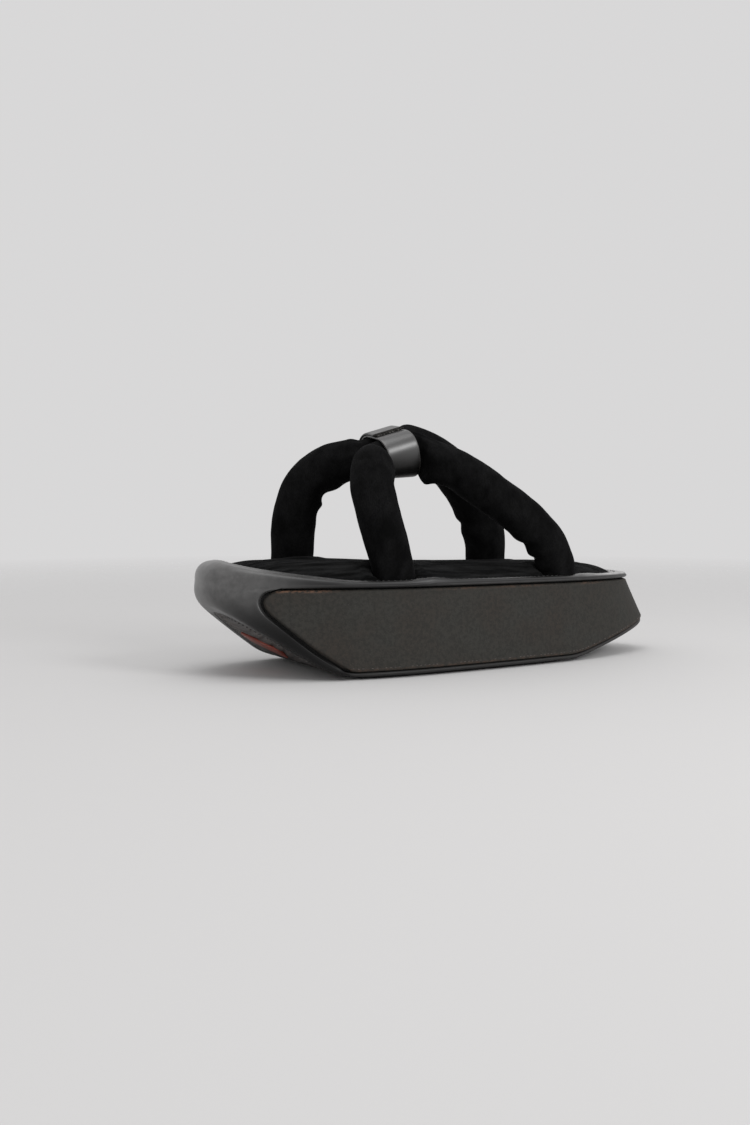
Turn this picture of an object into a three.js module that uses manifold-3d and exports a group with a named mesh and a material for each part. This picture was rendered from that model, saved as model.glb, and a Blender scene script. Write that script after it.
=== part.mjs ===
// A left slide sandal: a rocker platform sole, a padded footbed, and two stuffed tube straps
// that a leather keeper gathers over the instep.
// Millimetres. +Y points to the toe, +X to the big-toe side, +Z up.
// The origin is on the floor, under the middle of the sandal.

import * as THREE from 'three';
import { mergeVertices } from 'three/addons/utils/BufferGeometryUtils.js';
import Module from 'manifold-3d';

const wasm = await Module();
wasm.setup();

// Clearance kept between neighbouring pieces
const GAP = 0.3;

// Plan of the sole at its rim: a rounded oblong with a wider ball than heel
const RIM_HEEL_Y = -133.75;
const RIM_TOE_Y = 146.25;
const RIM_ROUNDNESS = 2.5;
const HALF_WIDTHS = [
  { y: -133.75, lateral: 42, medial: 40 },
  { y: -90, lateral: 44, medial: 42 },
  { y: -40, lateral: 46, medial: 43.5 },
  { y: 12, lateral: 49.5, medial: 46 },
  { y: 57, lateral: 52.4, medial: 52.7 },
  { y: 92, lateral: 52, medial: 53.2 },
  { y: 146.25, lateral: 48, medial: 51 },
];
const PLAN_STEPS = 64;

// Heights of the sole: the deck under the footbed, and the rim that springs up at the toe
const DECK_HEIGHT = 47.6;
const DECK_SLOPE = 0.0097;
const RIM_STAND = 3.2;
const TOE_SPRING = 10;
const SPRING_START_Y = 60;

// Underside: flat under the foot, sloping up to the toe tip and to the heel nose
const PAD_DEPTH = 1.6;
const TOE_ROCKER = { start: 75.5, slope: 0.67, blend: 24 };
const HEEL_ROCKER = { start: -64.5, slope: 0.235, blend: 16 };

// Side walls: how far they lean out at their foot, and how round their edges are
const FLARE = { side: 3, toe: 0, heel: 13 };
const FOOT_RADIUS = { side: 1.5, toe: 12, least: 0.4 };
const RIM_RADIUS = { side: 1.8, toe: 10 };
const TOE_ROUNDING = { from: 82, to: 142 };

// Leather cover: the rim all round, and the wrap of the toe with its turn under the sole
const RIM_WIDTH = { side: 6, toe: 14, heel: 11 };
const WRAP_THICKNESS = 2.4;
const WRAP_UNDER = 5;
const PANEL_RECESS = 0.5;
const PANEL_FRONT = [
  { y: 121.5, z: 49.5 },
  { y: 124.5, z: 46.5 },
  { y: 125.5, z: 42.5 },
  { y: 124, z: 37.5 },
  { y: 121, z: 33.5 },
  { y: 101.5, z: 16.6 },
  { y: 88.5, z: 8.4 },
  { y: 77.5, z: 4.2 },
  { y: 60.5, z: -2 },
];

// Rubber outsole: a thin sheet with a contact pad that stands proud of it
const SHEET_THICKNESS = 2.4;
const SHEET_INSET = 0.8;
const PAD_INSET = 4;
const PAD_HEEL_Y = -49.5;
const PAD_TOE_Y = 74;
const TUCK_LENGTH = 14;

// Padded footbed inside the rim
const FOOTBED_CROWN = 58.5;
const FOOTBED_CROWN_SLOPE = 0.025;
const FOOTBED_EDGE_DROP = 1;
const FOOTBED_SHOULDER = 22;
const FOOTBED_INSETS = [0, 2.5, 6, 12, 20];

// Keeper: a leather band round both straps, its free end lapped over the top
const KEEPER_CENTRE = new THREE.Vector3(0, 31.8, 122.2);
const KEEPER_PITCH = THREE.MathUtils.degToRad(16);
const KEEPER_ROLL = THREE.MathUtils.degToRad(7);
const KEEPER_WIDTH = 20;
const KEEPER_THICKNESS = 1.8;
const KEEPER_HALF = { across: 16.6, up: 9.6 };
const KEEPER_LAP = { thickness: 2, start: 0.19, full: 0.21, end: 0.5 };
const KEEPER_STEPS = 48;

// Straps: stuffed tubes, each from its front foot on the deck through the keeper to its rear foot
const STRAP_APART = 15;
const STRAP_IN_KEEPER = { across: 8.2, up: 8.8 };
const STRAIGHT_IN_KEEPER = [-0.6, 0, 0.6];
const STRAP_RELEASE = 14;
const STRAP_RINGS_PER_ROW = 4;
const STRAP_SIDES = 16;
const STRAPS = [
  {
    side: -1,
    frontFoot: { x: -36.5, y: 48.5, across: 9, up: 12 },
    front: [
      { x: -36.5, y: 48.5, z: 56, across: 10, up: 12 },
      { x: -35.5, y: 54.5, z: 78, across: 12, up: 12 },
      { x: -32, y: 58.5, z: 98, across: 12, up: 12.3 },
      { x: -23.5, y: 54.5, z: 111, across: 11.8, up: 12.3 },
      { x: -13, y: 48.5, z: 115, across: 10, up: 11.2 },
    ],
    rear: [
      { x: -13, y: 13.5, z: 118, across: 11, up: 12.4 },
      { x: -20, y: -3, z: 112.3, across: 12, up: 12 },
      { x: -26, y: -21.5, z: 99, across: 12, up: 12 },
      { x: -29, y: -41.7, z: 83.8, across: 12, up: 11.8 },
      { x: -30, y: -57.7, z: 68.8, across: 11.5, up: 11.8 },
      { x: -30, y: -64.5, z: 55, across: 10, up: 11.8 },
    ],
    rearFoot: { x: -30, y: -64.5, across: 9, up: 11.8 },
  },
  {
    side: 1,
    frontFoot: { x: 35, y: 77, across: 9, up: 12.8 },
    front: [
      { x: 35, y: 77, z: 60, across: 10.5, up: 12.8 },
      { x: 34.5, y: 76, z: 82, across: 12.5, up: 13 },
      { x: 32, y: 71.5, z: 100, across: 12.8, up: 13 },
      { x: 25, y: 59.5, z: 113, across: 12.5, up: 13 },
      { x: 13, y: 48.5, z: 118.5, across: 10.2, up: 11.5 },
    ],
    rear: [
      { x: 13, y: 11.5, z: 127, across: 11, up: 12 },
      { x: 18, y: -10.5, z: 121, across: 12, up: 12.5 },
      { x: 23.5, y: -30.5, z: 106, across: 12.5, up: 12.5 },
      { x: 27, y: -44.3, z: 88.5, across: 12.5, up: 12.9 },
      { x: 28, y: -51.7, z: 71, across: 11.5, up: 13.3 },
      { x: 28, y: -52.7, z: 57, across: 10, up: 13.3 },
    ],
    rearFoot: { x: 28, y: -52.7, across: 9, up: 13.3 },
  },
];

// Finishes
const FINISH = {
  rubber: { color: 0x171717, roughness: 0.75, metalness: 0 },
  panel: { color: 0x3b3935, roughness: 0.7, metalness: 0 },
  leather: { color: 0x2b2a29, roughness: 0.45, metalness: 0 },
  suede: { color: 0x121212, roughness: 1, metalness: 0 },
  footbed: { color: 0x1c1c1c, roughness: 0.95, metalness: 0 },
};

const mix = (from, to, share) => from + (to - from) * share;
const clamp = (value, low, high) => Math.min(high, Math.max(low, value));
const signedPower = (value, power) => Math.sign(value) * Math.abs(value) ** power;

// A share from 0 to 1 that starts and ends level between two values
function ease(low, high, value) {
  const share = clamp((value - low) / (high - low), 0, 1);
  return share * share * (3 - 2 * share);
}

// A column of a table at a place along it, on a smooth curve through the rows
function along(rows, y, column) {
  const last = rows.length - 1;
  const row = clamp(rows.findIndex((entry) => entry.y > y) - 1, 0, last - 1);
  const start = y >= rows[last].y ? last - 1 : row;
  const slope = (index) => {
    const before = rows[Math.max(0, index - 1)];
    const after = rows[Math.min(last, index + 1)];
    return (after[column] - before[column]) / (after.y - before.y);
  };
  const span = rows[start + 1].y - rows[start].y;
  const s = clamp((y - rows[start].y) / span, 0, 1);
  const rise = s * s * (3 - 2 * s);
  return mix(rows[start][column], rows[start + 1][column], rise)
    + span * (s * (1 - s) ** 2 * slope(start) - s * s * (1 - s) * slope(start + 1));
}

// Height gained past the start of a rocker: level, then a blend, then a straight slope
function rockerRise({ slope, blend }, past) {
  if (past <= 0) return 0;
  return past < blend ? (slope * past * past) / (2 * blend) : slope * (past - blend / 2);
}

const deckZ = (y) => DECK_HEIGHT + DECK_SLOPE * y;
const bottomZ = (y) => PAD_DEPTH + rockerRise(TOE_ROCKER, y - TOE_ROCKER.start)
  + rockerRise(HEEL_ROCKER, HEEL_ROCKER.start - y);

const bottomLean = (y) => Math.atan(bottomZ(y + 0.5) - bottomZ(y - 0.5));

function rimZ(y) {
  const spring = Math.max(0, (y - SPRING_START_Y) / (RIM_TOE_Y - SPRING_START_Y));
  return deckZ(y) + RIM_STAND + TOE_SPRING * spring * spring;
}

// A size that changes from the sides to the toe and the heel, by the way that a wall faces
const byFacing = (size, out) => size.side + (size.toe - size.side) * Math.max(0, out.y) ** 2
  + (size.heel - size.side) * Math.max(0, -out.y) ** 2;

function planPoint(angle) {
  const power = 2 / RIM_ROUNDNESS;
  const half = (RIM_TOE_Y - RIM_HEEL_Y) / 2;
  const y = RIM_HEEL_Y + half + half * signedPower(Math.cos(angle), power);
  const sideways = signedPower(Math.sin(angle), power);
  const width = along(HALF_WIDTHS, y, sideways > 0 ? 'lateral' : 'medial');
  return new THREE.Vector2(-width * sideways, y);
}

// The rim's outline: places with their outward directions, from the toe round by the lateral side
const OUTLINE = Array.from({ length: PLAN_STEPS }, (_, step) => {
  const angle = (step / PLAN_STEPS) * 2 * Math.PI;
  const nudge = 1e-3;
  const run = planPoint(angle + nudge).sub(planPoint(angle - nudge)).normalize();
  return { at: planPoint(angle), out: new THREE.Vector2(run.y, -run.x) };
});

// The wall at one place of the outline, with the sizes that its section is drawn from
function wallAt({ at, out }, inset, lift) {
  const flare = byFacing(FLARE, out);
  const toeShare = ease(TOE_ROUNDING.from, TOE_ROUNDING.to, at.y);
  const radius = Math.max(mix(FOOT_RADIUS.side, FOOT_RADIUS.toe, toeShare) - inset, FOOT_RADIUS.least);
  const rimRadius = mix(RIM_RADIUS.side, RIM_RADIUS.toe, toeShare);
  const centre = flare - inset - radius;
  const yAt = (offset) => at.y + out.y * offset;
  const lean = Math.atan(Math.tan(bottomLean(yAt(centre))) * out.y);
  const centreZ = bottomZ(yAt(centre)) + lift / Math.cos(bottomLean(yAt(centre))) + radius / Math.cos(lean);
  const topZ = rimZ(at.y);
  return { flare, radius, rimRadius, centre, lean, centreZ, topZ, yAt };
}

const FOOT_ARC_STEPS = 4;
const RIM_ARC_STEPS = 3;

// Offsets and heights of the rounded foot of the wall, from the underside up to the wall
function footArc(wall) {
  return Array.from({ length: FOOT_ARC_STEPS + 1 }, (_, step) => {
    const turn = (Math.PI / 2 - wall.lean) * (1 - step / FOOT_ARC_STEPS);
    return {
      offset: wall.centre + wall.radius * Math.cos(turn),
      z: wall.centreZ - wall.radius * Math.sin(turn),
    };
  });
}

// Offsets and heights of the rounded top edge, from the wall up to the flat of the rim
function rimArc(wall) {
  return Array.from({ length: RIM_ARC_STEPS + 1 }, (_, step) => {
    const turn = (Math.PI / 2) * (step / RIM_ARC_STEPS);
    return {
      offset: wall.rimRadius * (Math.cos(turn) - 1),
      z: wall.topZ - wall.rimRadius * (1 - Math.sin(turn)),
    };
  });
}

// How far out the leaning wall stands at a height, before any inset
function wallOffset(wall, z) {
  const top = wall.topZ - wall.rimRadius;
  return wall.flare * clamp((top - z) / (top - wall.centreZ), 0, 1);
}

const placeOf = ({ at, out }, { offset, z }) =>
  new THREE.Vector3(at.x + out.x * offset, at.y + out.y * offset, z);

// Turns a section drawn at each place of the outline into rings that run round the sole
function ringsOf(sectionAt) {
  const sections = OUTLINE.map((place) => sectionAt(place).map((point) => placeOf(place, point)));
  return sections[0].map((_, level) => sections.map((section) => section[level]));
}

function geometryFrom(points, faces) {
  const geometry = new THREE.BufferGeometry().setFromPoints(points);
  geometry.setIndex(faces.flat());
  return geometry;
}

// Quads between two rings of the same count, as triangles that face outwards
function bandFaces(lower, upper, count) {
  const faces = [];
  for (let i = 0; i < count; i += 1) {
    const j = (i + 1) % count;
    faces.push([lower + i, lower + j, upper + j], [lower + i, upper + j, upper + i]);
  }
  return faces;
}

// Cross strips that close a ring from its first point to the one opposite
function capFaces(start, count, faceUp) {
  const faces = [];
  for (let i = 0; i < count / 2; i += 1) {
    const [near, next] = [start + i, start + i + 1];
    const [farNext, far] = [start + count - i - 1, start + ((count - i) % count)];
    if (next !== farNext) faces.push(faceUp ? [near, next, farNext] : [near, farNext, next]);
    if (i > 0) faces.push(faceUp ? [near, farNext, far] : [near, far, farNext]);
  }
  return faces;
}

// A solid of rings stacked from bottom to top, closed at both ends
function stack(rings) {
  const count = rings[0].length;
  const bands = rings.slice(1).flatMap((_, level) => bandFaces(level * count, (level + 1) * count, count));
  const caps = [...capFaces(0, count, false), ...capFaces((rings.length - 1) * count, count, true)];
  return geometryFrom(rings.flat(), [...bands, ...caps]);
}

// A solid of rings that close on the first one again, as round a hollow
function loop(rings) {
  const count = rings[0].length;
  const faces = rings.flatMap((_, level) =>
    bandFaces(level * count, ((level + 1) % rings.length) * count, count));
  return geometryFrom(rings.flat(), faces);
}

function solidOf(geometry) {
  return new wasm.Manifold(new wasm.Mesh({
    numProp: 3,
    vertProperties: new Float32Array(geometry.attributes.position.array),
    triVerts: new Uint32Array(geometry.index.array),
  }));
}

function geometryOf(solid) {
  const { vertProperties, triVerts } = solid.getMesh();
  const geometry = new THREE.BufferGeometry();
  geometry.setAttribute('position', new THREE.BufferAttribute(vertProperties, 3));
  geometry.setIndex(new THREE.BufferAttribute(triVerts, 1));
  return geometry;
}

// Everything behind the front edge of the side panel and below the rim, less a margin
function panelRegion(margin) {
  const reach = 200;
  const shape = new THREE.Shape();
  shape.moveTo(-reach, deckZ(-reach) - margin);
  shape.lineTo(-reach, -reach);
  shape.lineTo(PANEL_FRONT.at(-1).y, -reach);
  [...PANEL_FRONT].reverse().forEach(({ y, z }) => shape.lineTo(y - margin, Math.min(z, deckZ(y) - margin)));
  const geometry = new THREE.ExtrudeGeometry(shape, { depth: 2 * reach, bevelEnabled: false });
  const toWorld = new THREE.Matrix4().makeBasis(
    new THREE.Vector3(0, 1, 0),
    new THREE.Vector3(0, 0, 1),
    new THREE.Vector3(1, 0, 0),
  );
  return solidOf(merged(geometry.translate(0, 0, -reach).applyMatrix4(toWorld)));
}

// The same shape with vertices shared by position only
function merged(geometry) {
  geometry.deleteAttribute('normal');
  geometry.deleteAttribute('uv');
  return mergeVertices(geometry);
}

// Rubber outsole: a sheet along the underside, with the pad that meets the floor
function outsole(grow) {
  const edgeOf = (place) => {
    const wall = wallAt(place, 0, 0);
    const wrapped = footArc(wall)[0].offset - WRAP_UNDER - GAP;
    const share = ease(PAD_TOE_Y - TUCK_LENGTH, PAD_TOE_Y, place.at.y);
    return mix(wall.flare - SHEET_INSET, wrapped, share) + grow;
  };
  const sheet = ringsOf((place) => {
    const offset = edgeOf(place);
    const y = place.at.y + place.out.y * offset;
    const steep = 1 / Math.cos(bottomLean(y));
    return [
      { offset, z: bottomZ(y) - grow * steep },
      { offset, z: bottomZ(y) + (SHEET_THICKNESS + grow) * steep },
    ];
  });
  const pad = ringsOf((place) => {
    const offset = edgeOf(place) - PAD_INSET;
    return [{ offset, z: -grow }, { offset, z: PAD_DEPTH + SHEET_THICKNESS / 2 }];
  });
  pad.flat().forEach((point) => point.setY(clamp(point.y, PAD_HEEL_Y, PAD_TOE_Y)));
  return solidOf(stack(sheet)).add(solidOf(stack(pad)));
}

// Body of the platform up to its deck, with its wall drawn in by an inset
function platformBody(inset) {
  return solidOf(stack(ringsOf((place) => {
    const wall = wallAt(place, inset, SHEET_THICKNESS + GAP);
    const z = deckZ(place.at.y);
    return [...footArc(wall), { offset: wallOffset(wallAt(place, 0, 0), z) - inset, z }];
  })));
}

// Platform: cut back under the toe wrap, and full out where its side panel shows
function platform() {
  const core = platformBody(WRAP_THICKNESS + 2 * GAP);
  const panel = platformBody(PANEL_RECESS).intersect(panelRegion(GAP));
  return core.add(panel);
}

// Leather cover: the rim and the toe wrap, open where the side panel shows
function leatherCover(straps) {
  const section = (place) => {
    const outer = wallAt(place, 0, 0);
    const inner = wallAt(place, WRAP_THICKNESS, WRAP_THICKNESS);
    const underOffset = footArc(outer)[0].offset - WRAP_UNDER;
    const underZ = bottomZ(outer.yAt(underOffset));
    const deck = deckZ(place.at.y) + GAP;
    const rimWidth = byFacing(RIM_WIDTH, place.out);
    return [
      { offset: underOffset, z: underZ },
      ...footArc(outer),
      ...rimArc(outer),
      { offset: -rimWidth, z: outer.topZ },
      { offset: -rimWidth, z: deck },
      { offset: wallOffset(outer, deck) - WRAP_THICKNESS, z: deck },
      ...footArc(inner).reverse(),
      { offset: underOffset, z: underZ + WRAP_THICKNESS },
    ];
  };
  return solidOf(loop(ringsOf(section))).subtract(panelRegion(0)).subtract(outsole(GAP)).subtract(straps);
}

// Padded footbed: level on the deck, crowned above the rim, notched for the strap legs
function footbed(straps) {
  const pad = ringsOf(({ at, out }) => {
    const edge = -byFacing(RIM_WIDTH, out) - GAP;
    const rim = rimZ(at.y) - FOOTBED_EDGE_DROP;
    const crown = Math.max(FOOTBED_CROWN + FOOTBED_CROWN_SLOPE * at.y, rim);
    const top = FOOTBED_INSETS.map((inset) => {
      const share = 1 - (1 - inset / FOOTBED_SHOULDER) ** 2;
      return { offset: edge - inset, z: mix(rim, crown, share) };
    });
    return [{ offset: edge, z: deckZ(at.y) + GAP }, ...top];
  });
  return solidOf(stack(pad)).subtract(straps);
}

// Directions of the keeper: across the foot, back along the straps, and up out of the instep
const KEEPER_TURN = new THREE.Euler(-KEEPER_PITCH, -KEEPER_ROLL, 0, 'XYZ');
const KEEPER_ACROSS = new THREE.Vector3(1, 0, 0).applyEuler(KEEPER_TURN);
const KEEPER_BACK = new THREE.Vector3(0, -1, 0).applyEuler(KEEPER_TURN);

const keeperPoint = (across, back) => KEEPER_CENTRE.clone()
  .addScaledVector(KEEPER_ACROSS, across)
  .addScaledVector(KEEPER_BACK, back);

// One stuffed tube, its ends flat on the deck
function strap({ side, frontFoot, front, rear, rearFoot }, grow) {
  const inKeeper = STRAIGHT_IN_KEEPER.map((share) => {
    const { x, y, z } = keeperPoint((side * STRAP_APART) / 2, share * KEEPER_WIDTH);
    return { x, y, z, ...STRAP_IN_KEEPER };
  });
  const onDeck = (foot) => ({ ...foot, z: deckZ(foot.y) + GAP - grow });
  const rows = [onDeck(frontFoot), ...front, ...inKeeper, ...rear, onDeck(rearFoot)];
  const path = new THREE.CatmullRomCurve3(rows.map(({ x, y, z }) => new THREE.Vector3(x, y, z)));
  const last = rows.length - 1;
  const rings = Array.from({ length: last * STRAP_RINGS_PER_ROW + 1 }, (_, step) => {
    const row = step / STRAP_RINGS_PER_ROW;
    const [before, after] = [rows[Math.floor(row)], rows[Math.ceil(row)]];
    const sizeOf = (column) => mix(before[column], after[column], ease(0, 1, row % 1)) + grow;
    const centre = path.getPoint(row / last);
    const beyond = Math.abs(centre.clone().sub(KEEPER_CENTRE).dot(KEEPER_BACK)) - KEEPER_WIDTH / 2;
    const held = 1 - ease(0, STRAP_RELEASE, beyond);
    const run = path.getTangent(row / last).lerp(KEEPER_BACK, held).normalize();
    const across = KEEPER_ACROSS.clone().addScaledVector(run, -KEEPER_ACROSS.dot(run)).normalize();
    const up = run.clone().cross(across).normalize();
    return Array.from({ length: STRAP_SIDES }, (_side, index) => {
      const turn = (index / STRAP_SIDES) * 2 * Math.PI;
      return centre.clone()
        .addScaledVector(across, Math.cos(turn) * sizeOf('across'))
        .addScaledVector(up, Math.sin(turn) * sizeOf('up'));
    });
  });
  return solidOf(stack(rings));
}

const strapUpper = (grow) => strap(STRAPS[0], grow).add(strap(STRAPS[1], grow));

// The keeper's outline at a share of the way round: a stadium, from the lateral end over the top
function keeperOutline(share, swell) {
  const flat = KEEPER_HALF.across - KEEPER_HALF.up;
  const corner = (Math.PI / 2) * KEEPER_HALF.up;
  const overTop = share < 0.5;
  const fromMiddle = (corner + flat) * (4 * (overTop ? share : 1 - share) - 1);
  const middle = clamp(fromMiddle, -flat, flat);
  const turn = Math.PI / 2 - (fromMiddle - middle) / KEEPER_HALF.up;
  const radius = KEEPER_HALF.up + swell;
  return new THREE.Vector2(middle + radius * Math.cos(turn), (overTop ? 1 : -1) * radius * Math.sin(turn));
}

// Leather keeper: a closed band whose lapped end makes a second layer over the top
function keeper() {
  const { thickness, start, full, end } = KEEPER_LAP;
  const swellAt = (share) => KEEPER_THICKNESS
    + thickness * (share < full ? ease(start, full, share) : 1 - ease(full, end, share));
  const shares = Array.from({ length: KEEPER_STEPS }, (_, step) => step / KEEPER_STEPS);
  const shape = new THREE.Shape(shares.map((share) => keeperOutline(share, swellAt(share))));
  shape.holes.push(new THREE.Path(shares.map((share) => keeperOutline(share, 0)).reverse()));
  const geometry = new THREE.ExtrudeGeometry(shape, { depth: KEEPER_WIDTH, bevelEnabled: false });
  return merged(geometry.translate(0, 0, -KEEPER_WIDTH / 2));
}

function piece(name, geometry, finish) {
  const mesh = new THREE.Mesh(geometry, new THREE.MeshStandardMaterial(finish));
  mesh.name = name;
  return mesh;
}

const grownStraps = strapUpper(GAP);
const keeperMesh = piece('strap_keeper', keeper(), FINISH.leather);
keeperMesh.position.copy(KEEPER_CENTRE);
keeperMesh.setRotationFromMatrix(new THREE.Matrix4().makeBasis(
  KEEPER_ACROSS,
  KEEPER_ACROSS.clone().cross(KEEPER_BACK).negate(),
  KEEPER_BACK,
));

const sandal = new THREE.Group();
sandal.add(
  piece('outsole', geometryOf(outsole(0)), FINISH.rubber),
  piece('platform', geometryOf(platform()), FINISH.panel),
  piece('leather_cover', geometryOf(leatherCover(grownStraps)), FINISH.leather),
  piece('footbed', geometryOf(footbed(grownStraps)), FINISH.footbed),
  piece('strap_upper', geometryOf(strapUpper(0)), FINISH.suede),
  keeperMesh,
);

export default sandal;
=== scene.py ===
"""Looks of a left slide sandal: a rocker platform, a padded footbed, and stuffed straps in a keeper.

Sizes are in millimetres, and meshes are made in metres.
+Y points to the toe, +X to the big-toe side, +Z up.
"""

import logging
import math
from collections.abc import Callable
from dataclasses import dataclass
from enum import Enum

import bmesh
import bpy
import numpy as np
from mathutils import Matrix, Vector


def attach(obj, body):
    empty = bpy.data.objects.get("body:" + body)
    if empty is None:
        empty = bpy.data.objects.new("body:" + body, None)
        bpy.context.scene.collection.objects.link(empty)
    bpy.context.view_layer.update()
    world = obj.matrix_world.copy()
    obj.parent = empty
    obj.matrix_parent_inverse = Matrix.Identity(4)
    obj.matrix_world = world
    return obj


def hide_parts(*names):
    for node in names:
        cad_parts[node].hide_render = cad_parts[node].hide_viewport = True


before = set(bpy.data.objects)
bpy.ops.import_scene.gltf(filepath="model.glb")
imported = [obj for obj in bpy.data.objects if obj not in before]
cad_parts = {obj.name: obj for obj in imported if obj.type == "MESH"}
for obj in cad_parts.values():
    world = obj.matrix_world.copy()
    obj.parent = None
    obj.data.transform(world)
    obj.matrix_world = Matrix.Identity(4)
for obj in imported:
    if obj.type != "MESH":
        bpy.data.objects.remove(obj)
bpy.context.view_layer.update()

MM = 0.001
GAP = 0.3
EASE = 0.15
LOG = logging.getLogger("sandal")
Array = np.ndarray
Skin = Callable[[Array, Array], Array]
Socket = bpy.types.NodeSocket
Triple = tuple[float, float, float]


class Side(Enum):
    """The two sides of the foot, by the sign of X."""

    LATERAL = -1
    MEDIAL = 1


class Column(Enum):
    """Columns of the table of half widths."""

    LATERAL = 1
    MEDIAL = 2


# Shape helpers


def smooth_step(low: float, high: float, value: Array) -> Array:
    """Share that starts and ends level: s squared times (3 - 2s), with s the clipped way between.

    Args:
        low: where the share is 0.
        high: where the share is 1.
        value: places to measure.

    Returns:
        The share at each place.
    """
    share = np.clip((value - low) / (high - low), 0.0, 1.0)
    return share * share * (3.0 - 2.0 * share)


def hump(value: Array, centre: float, reach: float) -> Array:
    """Bell of height 1: e to the minus squared distance from centre, in units of reach.

    Args:
        value: places to measure.
        centre: where the bell is 1.
        reach: distance at which it has fallen to 1/e.

    Returns:
        The bell's height at each place.
    """
    return np.exp(-(((value - centre) / reach) ** 2))


def mix(start: Array, end: Array, share: Array) -> Array:
    """Straight blend from start to end by a share."""
    return start + (end - start) * share


def signed_power(value: Array, power: float) -> Array:
    """Power of the size of a value, with its sign kept."""
    return np.sign(value) * np.abs(value) ** power


def unit(vectors: Array) -> Array:
    """Vectors along the last axis, brought to length 1."""
    return vectors / np.maximum(np.linalg.norm(vectors, axis=-1, keepdims=True), 1e-12)


def hermite(rows: Array, column: int, at: Array) -> Array:
    """Smooth curve through the rows of a table: cubic pieces, sloped by each row's two neighbours.

    Args:
        rows: table whose first column is the place and rises.
        column: column to read.
        at: places to read it at.

    Returns:
        The column's value at each place.
    """
    place, value = rows[:, 0], rows[:, column]
    last = len(place) - 1
    index = np.arange(last + 1)
    before, after = np.maximum(index - 1, 0), np.minimum(index + 1, last)
    slope = (value[after] - value[before]) / (place[after] - place[before])
    row = np.clip(np.searchsorted(place, at, side="right") - 1, 0, last - 1)
    span = place[row + 1] - place[row]
    s = np.clip((at - place[row]) / span, 0.0, 1.0)
    bend = s * (1 - s) ** 2 * slope[row] - s * s * (1 - s) * slope[row + 1]
    return mix(value[row], value[row + 1], s * s * (3 - 2 * s)) + span * bend


def spline(points: Array, shares: Array) -> tuple[Array, Array]:
    """Centripetal curve through points: a cubic a span, its slopes weighing neighbours by root distance.

    Args:
        points: the points, a row each.
        shares: places counted in points, from 0 to the last index.

    Returns:
        The places on the curve, and the directions along it.
    """
    ends = np.concatenate([[2 * points[0] - points[1]], points, [2 * points[-1] - points[-2]]])
    steps = np.linalg.norm(np.diff(ends, axis=0), axis=1)[:, None] ** 0.5
    span = np.clip(shares.astype(int), 0, len(points) - 2)
    t = (shares - span)[:, None]
    p0, p1, p2, p3 = (ends[span + k] for k in range(4))
    d0, d1, d2 = (steps[span + k] for k in range(3))
    slope_in = ((p1 - p0) / d0 - (p2 - p0) / (d0 + d1) + (p2 - p1) / d1) * d1
    slope_out = ((p2 - p1) / d1 - (p3 - p1) / (d1 + d2) + (p3 - p2) / d2) * d1
    square = -3 * p1 + 3 * p2 - 2 * slope_in - slope_out
    cube = 2 * p1 - 2 * p2 + slope_in + slope_out
    place = p1 + t * (slope_in + t * (square + t * cube))
    return place, unit(slope_in + t * (2 * square + 3 * t * cube))


@dataclass(frozen=True)
class SoftNoise:
    """Smooth seeded noise from -1 to 1: a lattice of random values, blended by level-ended shares."""

    seed: int
    size: int = 32

    def at(self, points: Array, scale: Triple) -> Array:
        """Noise at places in mm.

        Args:
            points: places, with XYZ along the last axis.
            scale: size of a lattice cell along each axis.

        Returns:
            The noise at each place.
        """
        lattice = np.random.default_rng(self.seed).uniform(-1, 1, (self.size,) * 3)
        cell = points / np.array(scale)
        low = np.floor(cell).astype(int)
        share = cell - low
        share = share * share * (3 - 2 * share)
        total = np.zeros(points.shape[:-1])
        for corner in np.ndindex(2, 2, 2):
            pick = (low + np.array(corner)) % self.size
            weight = np.prod(np.where(corner, share, 1 - share), axis=-1)
            total += weight * lattice[pick[..., 0], pick[..., 1], pick[..., 2]]
        return total


# Mesh helpers


def grid_faces(index: Array, around: bool = False) -> Array:
    """Quads of a grid whose faces point to the cross product of column and row directions.

    Args:
        index: vertex numbers, rows by columns.
        around: whether the last column joins the first.

    Returns:
        Four vertex numbers for each quad.
    """
    if around:
        index = np.concatenate([index, index[:, :1]], axis=1)
    quads = [index[:-1, :-1], index[:-1, 1:], index[1:, 1:], index[1:, :-1]]
    return np.stack(quads, axis=-1).reshape(-1, 4)


def cross_strips(ring: Array, upward: bool) -> Array:
    """Quads that close a ring of an even count by strips from each point to the one across.

    Args:
        ring: vertex numbers round the ring, from one pole of it.
        upward: whether the faces point up, for a ring that runs counter-clockwise.

    Returns:
        Four vertex numbers for each quad; the two end strips are folded to triangles.
    """
    half = len(ring) // 2
    near = ring[: half + 1]
    far = np.concatenate([ring[:1], ring[: half - 1 : -1]])
    quads = np.stack([near[:-1], near[1:], far[1:], far[:-1]], axis=-1)
    return quads if upward else quads[:, ::-1]


def grid_index(grid: Array, start: int = 0) -> Array:
    """Vertex numbers of a grid of places, rows by columns, counted from a start."""
    return start + np.arange(grid[..., 0].size).reshape(grid.shape[:2])


def closed_faces(grid: Array, start: int = 0) -> Array:
    """Quads of a tube: its rings joined in order, and its two end rings closed by strips.

    Args:
        grid: places, rings by points round them.
        start: the number of the first vertex.

    Returns:
        Four vertex numbers for each quad, the tube's own quads first.
    """
    index = grid_index(grid, start)
    ends = [cross_strips(index[0], False), cross_strips(index[-1], True)]
    return np.concatenate([grid_faces(index, True), *ends])


def surface_normals(grid: Array) -> Array:
    """Unit normals of a grid of places: the cross product of its column and row differences."""
    return unit(np.cross(np.gradient(grid, axis=1), np.gradient(grid, axis=0)))


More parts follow.
